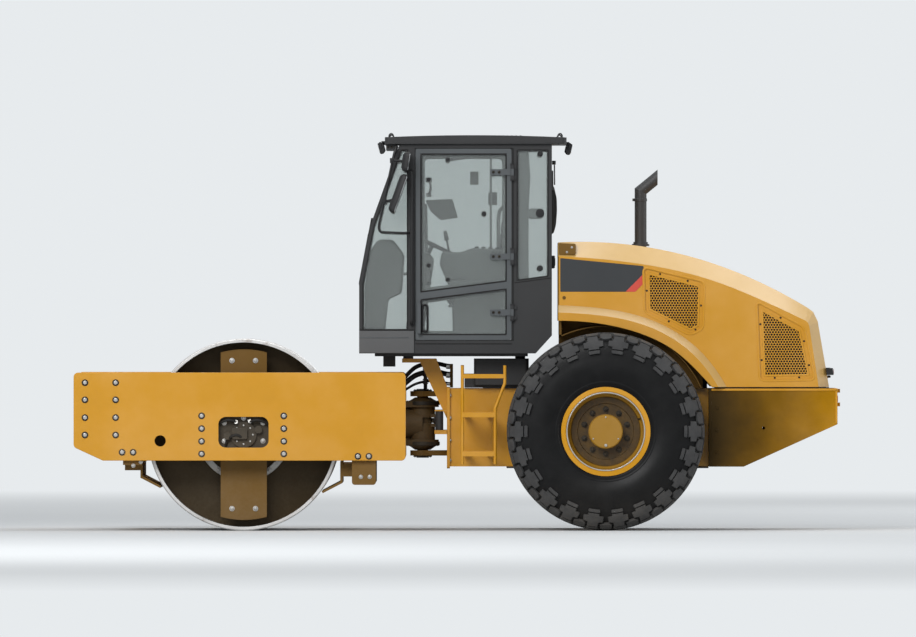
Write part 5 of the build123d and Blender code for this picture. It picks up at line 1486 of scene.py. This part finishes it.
def driver_seat():
    """The driver's seat: pad, back with head rest, armrests and the ribbed suspension base."""
    seat_x = 0.120
    arm_out = 0.320
    flat = Matrix.Identity(4)
    lean = Matrix.Rotation(math.radians(8), 4, "Y") @ Matrix.Rotation(math.radians(-90), 4, "Y")
    arm_size = (0.40, 0.078, 0.050)
    plan = {
        "seat_pad": ((seat_x, 0, cab_floor + 0.415), (0.48, 0.50, 0.130), flat, (-0.35, 0.25)),
        "seat_back": ((seat_x + 0.258, 0, cab_floor + 0.790), (0.60, 0.48, 0.095), lean, (-0.4, 0.0, 0.45)),
        "armrest_left": ((seat_x, -arm_out, cab_floor + 0.654), arm_size, flat, ()),
        "armrest_right": ((seat_x, arm_out, cab_floor + 0.654), arm_size, flat, ()),
    }
    pads = [pad_form(name, size) for name, (_, size, _, _) in plan.items()]
    swell_pads(pads[:2], 0.014)
    swell_pads(pads[2:], 0.004)
    for pad, (centre, size, turn, channels) in zip(pads, plan.values()):
        sew_pad(pad, size, Matrix.Translation(Vector(centre)) @ turn, channels)
    folds = []
    for index in range(6):
        width = 0.340 if index % 2 else 0.310
        folds.append(((seat_x, 0, cab_floor + 0.060 + index * 0.048), (width - 0.02, width + 0.01, 0.044)))
    folds.append(((seat_x, 0, cab_floor + 0.018), (0.318, 0.358, 0.034)))
    folds.append(((seat_x, 0, cab_floor + 0.340), (0.40, 0.42, 0.020)))
    bellows = block_piece("seat_bellows", folds, "rubber", "rear_frame", bevel=0.012)
    shape = bmesh.new()
    add_block(shape, (seat_x + 0.170, 0, cab_floor + 0.674), (0.050, 0.620, 0.034))
    for side in SIDES:
        add_rod(shape, (seat_x - 0.150, side * arm_out, cab_floor + 0.676), UP, 0.010, 0.070, 12)
    frame_bars = piece_from("seat_frame", shape, "plastic", "rear_frame", bevel=0.006)
    for piece in (*pads, bellows, frame_bars):
        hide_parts("seat")


def steering_wheel():
    """Round rim, three spokes, hub and the end of the column's shaft."""
    turn = Matrix.Translation(Vector((-0.205, 0, 2.290))) @ Matrix.Rotation(math.radians(25), 4, "Y")
    axis = turn.to_3x3() @ UP
    rim, grip = 0.180, 0.0155
    shape = bmesh.new()
    section = circle_of((rim, 0.0), grip, 12)
    rings = []
    for index in range(48):
        angle = math.tau * index / 48
        spots = [Vector((reach * math.cos(angle), reach * math.sin(angle), up)) for reach, up in section]
        rings.append([shape.verts.new(turn @ spot) for spot in spots])
    join_rings(shape, rings)
    for angle in (0.35, math.pi - 0.35, -math.pi / 2):
        start, end = (
            turn @ Vector((reach * math.cos(angle), reach * math.sin(angle), 0)) for reach in (0.030, 0.172)
        )
        add_rod(shape, start, end - start, 0.010, (end - start).length, 12, 0.008)
    add_rod(shape, turn @ Vector((0, 0, -0.020)), axis, 0.038, 0.038, 28, 0.030)
    add_rod(shape, turn @ Vector((0, 0, -0.088)), axis, 0.017, 0.080, 20)
    return piece_from("steering_wheel", shape, "plastic", "rear_frame", smooth=40)


def driver_console():
    """Steering column with its moulded cover, steering wheel, display and side consoles."""
    column = [
        (-0.420, cab_floor), (-0.420, 1.620), (-0.330, 2.180), (-0.250, 2.240),
        (-0.190, 2.180), (-0.270, 1.620), (-0.270, cab_floor),
    ]
    column = rounded_outline(column, 0.03)
    cover = plate_piece(
        "column_cover", column, -0.128, 0.128, across_machine, "lining", "rear_frame", bevel=0.018
    )
    for piece in (cover, steering_wheel()):
        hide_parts("console")
    shape = bmesh.new()
    screen = [(-0.262, 2.650), (-0.045, 2.660), (0.000, 2.508), (-0.140, 2.488), (-0.222, 2.560)]
    add_prism(shape, rounded_outline(screen, 0.012), 0.455, 0.490, across_machine)
    add_rod(shape, (-0.250, 0.472, 2.060), (-0.01, 0, 0.56), 0.012, 0.56, 14)
    add_rod(shape, (-0.250, 0.472, 2.070), (-0.25, 0, -0.02), 0.012, 0.23, 14)
    piece_from("display", shape, "lining", "rear_frame", bevel=0.004)
    box = [
        (-0.040, cab_floor), (-0.050, 1.900), (-0.150, 2.130), (-0.130, 2.235), (0.020, 2.225),
        (0.120, 2.262), (0.380, 2.250), (0.420, 2.120), (0.420, cab_floor),
    ]
    shape = bmesh.new()
    for side in SIDES:
        add_prism(shape, rounded_outline(box, 0.03), 0.405, 0.560, on_side(side))
    piece_from("side_consoles", shape, "lining", "rear_frame", bevel=0.015)
    shape = bmesh.new()
    for side in SIDES:
        lever = Vector((-0.070, side * 0.480, 2.225))
        add_rod(shape, lever, (-0.2, 0, 1), 0.008, 0.110, 12)
        add_rod(shape, lever + Vector((-0.020, 0, 0.100)), (-0.2, 0, 1), 0.020, 0.075, 20, 0.014)
        add_rod(shape, lever + Vector((0, 0, -0.010)), UP, 0.036, 0.026, 24, 0.012)
        for index in range(4):
            add_block(shape, (0.150 + index * 0.055, side * 0.480, 2.264 - index * 0.003), (0.034, 0.024, 0.022))
    piece_from("levers", shape, "plastic", "rear_frame", bevel=0.003)


def cab_furniture():
    """Dash in front, pedals, posts with grab tubes beside the doors, and small wall boxes."""
    dash = [
        (-0.748, 1.470), (-0.748, 1.960), (-0.700, 2.250), (-0.640, 2.330), (-0.520, 2.330),
        (-0.430, 2.210), (-0.450, 1.900), (-0.560, 1.850), (-0.600, 1.470),
    ]
    dash = rounded_outline(dash, 0.03)
    plate_piece("dash", dash, -0.46, 0.46, across_machine, "lining", "rear_frame", bevel=0.015)
    turn = Matrix.Rotation(math.radians(-35), 4, "Y")
    pedals = []
    for across in (-0.09, 0.09):
        pedals.append(((-0.520, across, 1.530), (0.130, 0.075, 0.012), turn))
        pedals.append(((-0.550, across, 1.495), (0.040, 0.030, 0.080)))
    block_piece("pedals", pedals, "rubber", "rear_frame", bevel=0.004)
    post = rounded_outline(rectangle(0.256, 2.262, 0.272, 3.050), 0.006)
    tube = ((0.325, 2.262), (0.325, 2.500), (0.333, 2.560), (0.360, 2.592), (0.430, 2.600))
    shape = bmesh.new()
    for side in SIDES:
        add_prism(shape, post, 0.700, 0.735, on_side(side))
        spots = [Vector((along, side * 0.715, height)) for along, height in tube]
        add_bent_bar(shape, spots, 0.014, 1.06, 14)
    piece_from("cab_posts", shape, "lining", "rear_frame", bevel=0.002)
    shape = bmesh.new()
    for corners in ((0.098, 2.776, 0.166, 2.882), (0.244, 2.612, 0.316, 2.716)):
        add_prism(shape, rounded_outline(rectangle(*corners), 0.006), 0.700, 0.752, on_side(1))
    piece_from("wall_boxes", shape, "lining", "rear_frame", bevel=0.003)


# Frames


def ladder_treads():
    """Serrated edges on both steps of each ladder."""
    for side, word in SIDE_WORDS:
        teeth = [
            ((0.050 + index * 0.0165, side * row, height + 0.003), (0.007, 0.012, 0.006))
            for height in (0.632, 0.944)
            for row in (0.735, 0.785, 0.835, 0.880)
            for index in range(15)
        ]
        block_piece(f"step_teeth_{word}", teeth, "yellow", "rear_frame", smooth=0)


def frame_trim():
    """Flange strips along the tail, bolts of the bulkhead and the tail, and the black feet below."""
    for side, word in SIDE_WORDS:
        flange = [
            ((2.535, side * 0.783, 1.126), (1.010, 0.010, 0.018)),
            ((3.031, side * 0.783, 0.9925), (0.016, 0.010, 0.27)),
        ]
        block_piece(f"tail_flange_{word}", flange, "yellow", "rear_frame", bevel=0.003)
        spots = [(-0.065, side * 0.465, height) for height in (0.560, 0.720, 0.900, 1.080)]
        bolt_set(f"bulkhead_bolts_{word}", spots, (1, 0, 0), "rear_frame", 0.012)
        feet = [((along, side * 0.4425, 0.502), (0.10, 0.040, 0.014)) for along in (0.440, 1.960)]
        block_piece(f"frame_feet_{word}", feet, "black_bolt", "rear_frame", bevel=0.003)
        spots = [(2.075, height) for height in (0.62, 0.80, 0.98)]
        side_bolts("tail_bolts", side, word, spots, 0.7805, "rear_frame", 0.010, "tail")


def hitch_trim():
    """Bearing covers with their bolts over and under the hitch, and the bearing's rings."""
    middle = (hitch_x, 0.0)
    shape = bmesh.new()
    bolts = bmesh.new()
    for height, way in ((1.112, 1), (0.594, -1)):
        base = Vector((hitch_x, 0, height))
        add_rod(shape, base, (0, 0, way), 0.075, 0.010, 40)
        add_rod(shape, base + UP * way * 0.010, (0, 0, way), 0.050, 0.008, 32)
        for along, across in circle_of(middle, 0.062, 6):
            add_bolt(bolts, (along, across, height + way * 0.010), (0, 0, way), 0.007, False)
    piece_from("pin_covers", shape, "black_bolt", "rear_frame", bevel=0.002)
    piece_from("pin_cover_bolts", bolts, "zinc", "rear_frame")
    shape = bmesh.new()
    bolts = bmesh.new()
    for low, high, edge, way in ((1.000, 1.030, 1.030, 1), (0.676, 0.706, 0.676, -1)):
        add_ring_plate(shape, circle_of(middle, 0.130, 48), -0.004, 0.008, low, high, flat_on_top)
        for along, across in circle_of(middle, 0.121, 12):
            add_bolt(bolts, (along, across, edge), (0, 0, way), 0.008, False)
    piece_from("bearing_rings", shape, "black_bolt", "hitch", bevel=0.002)
    piece_from("bearing_bolts", bolts, "black_bolt", "hitch")


# Each row of hoses: its height over the hitch, their radius and their places across
HOSE_ROWS = (
    (1.262, 0.021, (-0.150, -0.090, 0.0, 0.090, 0.150)),
    (1.330, 0.017, (-0.120, -0.045, 0.045, 0.120)),
    (1.190, 0.010, (-0.175, -0.125, 0.125, 0.175)),
)


def hitch_hoses():
    """Hydraulic hoses over the hitch, in two lengths that meet at a guide on the casting."""
    guide_x = -0.262
    guide = [((guide_x, 0, 1.135), (0.030, 0.050, 0.110))]
    for height, radius, _ in HOSE_ROWS:
        for way in (-1, 1):
            guide.append(((guide_x, 0, height + way * (radius + 0.005)), (0.044, 0.400, 0.010)))
    guide += [((guide_x, across, 1.266), (0.030, 0.010, 0.176)) for across in (-0.194, 0.194)]
    block_piece("hose_guide", guide, "black_bolt", "hitch", bevel=0.003)
    plate = ((-0.052, 0, 1.236), (0.024, 0.420, 0.190))
    block_piece("hose_plate", [plate], "shaded", "rear_frame", bevel=0.003)
    ends = bmesh.new()
    for row, (height, radius, places) in enumerate(HOSE_ROWS):
        low = 1.055 + (height - 1.190) * 0.55
        for index, across in enumerate(places):
            front = [
                (-0.640, across, low - 0.030),
                (-0.560, across, low),
                (-0.480, across, low + 0.030),
                (-0.400, across, low + (height - low) * 0.62),
                (-0.330, across, height - 0.012),
                (guide_x, across, height),
            ]
            hose = tube_piece(f"front_hose_{row}_{index}", front, radius, "rubber", None)
            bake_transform(hose)
            rear = [
                (guide_x, across, height),
                (-0.220, across, height + 0.006),
                (-0.160, across * 1.03, height + 0.004),
                (-0.100, across * 1.06, height - 0.012),
                (-0.050, across * 1.06, height - 0.020),
            ]
            hose = tube_piece(f"rear_hose_{row}_{index}", rear, radius, "rubber", None)
            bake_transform(hose)
            add_rod(ends, (-0.064, across * 1.06, height - 0.020), (-1, 0, 0.1), radius + 0.004, 0.030, 6)
    piece_from("hose_ends", ends, "zinc", "rear_frame")


def tail_lenses():
    """Red lenses on the hood's tail lamps and the round reflectors below them."""
    low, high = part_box("tail_lamps")
    face = rounded_outline(rectangle(-0.036, -0.019, 0.036, 0.019), 0.006)
    shape = bmesh.new()
    reflectors = bmesh.new()
    for side in SIDES:
        across = side * (abs(low.y) + 0.595) / 2
        middle = Vector((high.x - 0.0005, across, (low.z + high.z) / 2))
        add_prism(shape, face, 0.0, 0.003, lambda u, v, w, middle=middle: middle + Vector((w, u, v)))
        add_rod(reflectors, (3.0402, side * 0.60, 1.05), (1, 0, 0), 0.032, 0.006, 28)
    piece_from("tail_lenses", shape, "red_lens", "hood", bevel=0.001)
    piece_from("tail_reflectors", reflectors, "red_lens", "rear_frame", bevel=0.001)


# Floor, light and camera


def studio():
    """Pale floor that fades into the air behind it, even soft light, and a level long lens."""
    scene = bpy.context.scene
    air_colour = (0.80, 0.83, 0.85)
    floor_mesh = bmesh.new()
    bmesh.ops.create_grid(floor_mesh, x_segments=1, y_segments=1, size=500.0)
    mesh = bpy.data.meshes.new("studio_floor")
    floor_mesh.to_mesh(mesh)
    floor_mesh.free()
    floor = bpy.data.objects.new("studio_floor", mesh)
    scene.collection.objects.link(floor)
    material, shader, surface = new_material("pale_floor")
    here = shader.place()
    tone = shader.mix(shader.noise(here, 0.35, 3.0), (0.62, 0.64, 0.655), (0.65, 0.67, 0.685))
    shader.fill(surface, Base_Color=tone, Roughness=0.9, Specular_IOR_Level=0.1)
    distance = shader.node("ShaderNodeVectorMath", operation="LENGTH")
    shader.join(here, distance.inputs[0])
    far = shader.spread(distance.outputs["Value"], 7.0, 42.0)
    rays = shader.node("ShaderNodeLightPath")
    seen = shader.math("MAXIMUM", rays.outputs["Is Camera Ray"], rays.outputs["Is Transmission Ray"])
    air = shader.fill(shader.node("ShaderNodeEmission"), Color=air_colour)
    shader.choose(shader.math("MULTIPLY", far, seen), surface.outputs[0], air.outputs[0])
    mesh.materials.append(material)

    world = bpy.data.worlds.new("studio_air")
    scene.world = world
    world.use_nodes = True
    shader = Shader(world.node_tree)
    rays = shader.node("ShaderNodeLightPath")
    seen = shader.math("MAXIMUM", rays.outputs["Is Camera Ray"], rays.outputs["Is Glossy Ray"])
    seen = shader.math("MAXIMUM", seen, rays.outputs["Is Transmission Ray"])
    strength = shader.spread(seen, 0.0, 1.0, 0.41, 1.0)
    shader.fill(world.node_tree.nodes["Background"], Color=air_colour, Strength=strength)

    for name, spot, aim, width, height, power in (
        ("key_light", (-8.0, -22.0, 14.0), (0, 0, 1.2), 12.0, 12.0, 4300.0),
        ("top_light", (4.0, 0.3, 13.0), (4.0, 0.3, 1.0), 18.0, 2.4, 700.0),
        ("tail_light", (17.0, -1.6, 3.0), (2.0, -0.8, 1.4), 5.0, 5.0, 420.0),
        ("back_light", (10.0, 20.0, 12.0), (0, 0, 1.2), 12.0, 12.0, 1500.0),
    ):
        lamp = bpy.data.lights.new(name, "AREA")
        lamp.shape = "RECTANGLE"
        lamp.size = width
        lamp.size_y = height
        lamp.energy = power
        placed = bpy.data.objects.new(name, lamp)
        placed.location = spot
        placed.rotation_euler = (Vector(aim) - Vector(spot)).to_track_quat("-Z", "Y").to_euler()
        bpy.context.scene.collection.objects.link(placed)

    lens = bpy.data.cameras.new("long_lens")
    lens.lens = 900.0
    lens.sensor_width = 36.0
    photo_width, pixel = 916, 0.008
    frame_width = photo_width * pixel
    distance = frame_width / lens.sensor_width * lens.lens
    view = bpy.data.objects.new("long_lens", lens)
    view.location = (0.0, -1.0 - distance, 1.696)
    view.rotation_euler = (math.pi / 2, 0, 0)
    lens.clip_end = 1500.0
    bpy.context.scene.collection.objects.link(view)
    bpy.context.scene.camera = view
    bpy.context.scene.view_settings.view_transform = "Standard"


plate_bolts()
window_motor()
drum_fittings()
scraper_trim()
beam_steps()
for wheel_side, wheel_word in SIDE_WORDS:
    tyre(wheel_side, wheel_word)
    wheel_nuts(wheel_side, wheel_word)
grille_pieces = side_grilles() + rear_grille()
for grille_piece in grille_pieces:
    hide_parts("grilles")
hood_panels()
hood_trim()
exhaust_trim()
hood_corner_covers()
grille_linings()
cab_seals()
cab_linings()
door_fittings()
window_knobs()
roof_trim()
work_lamps()
door_mirrors()
rear_wall_trim()
driver_seat()
driver_console()
cab_furniture()
skirt_trim()
ladder_treads()
frame_trim()
hitch_trim()
hitch_hoses()
tail_lenses()
windscreen_wiper()
studio()
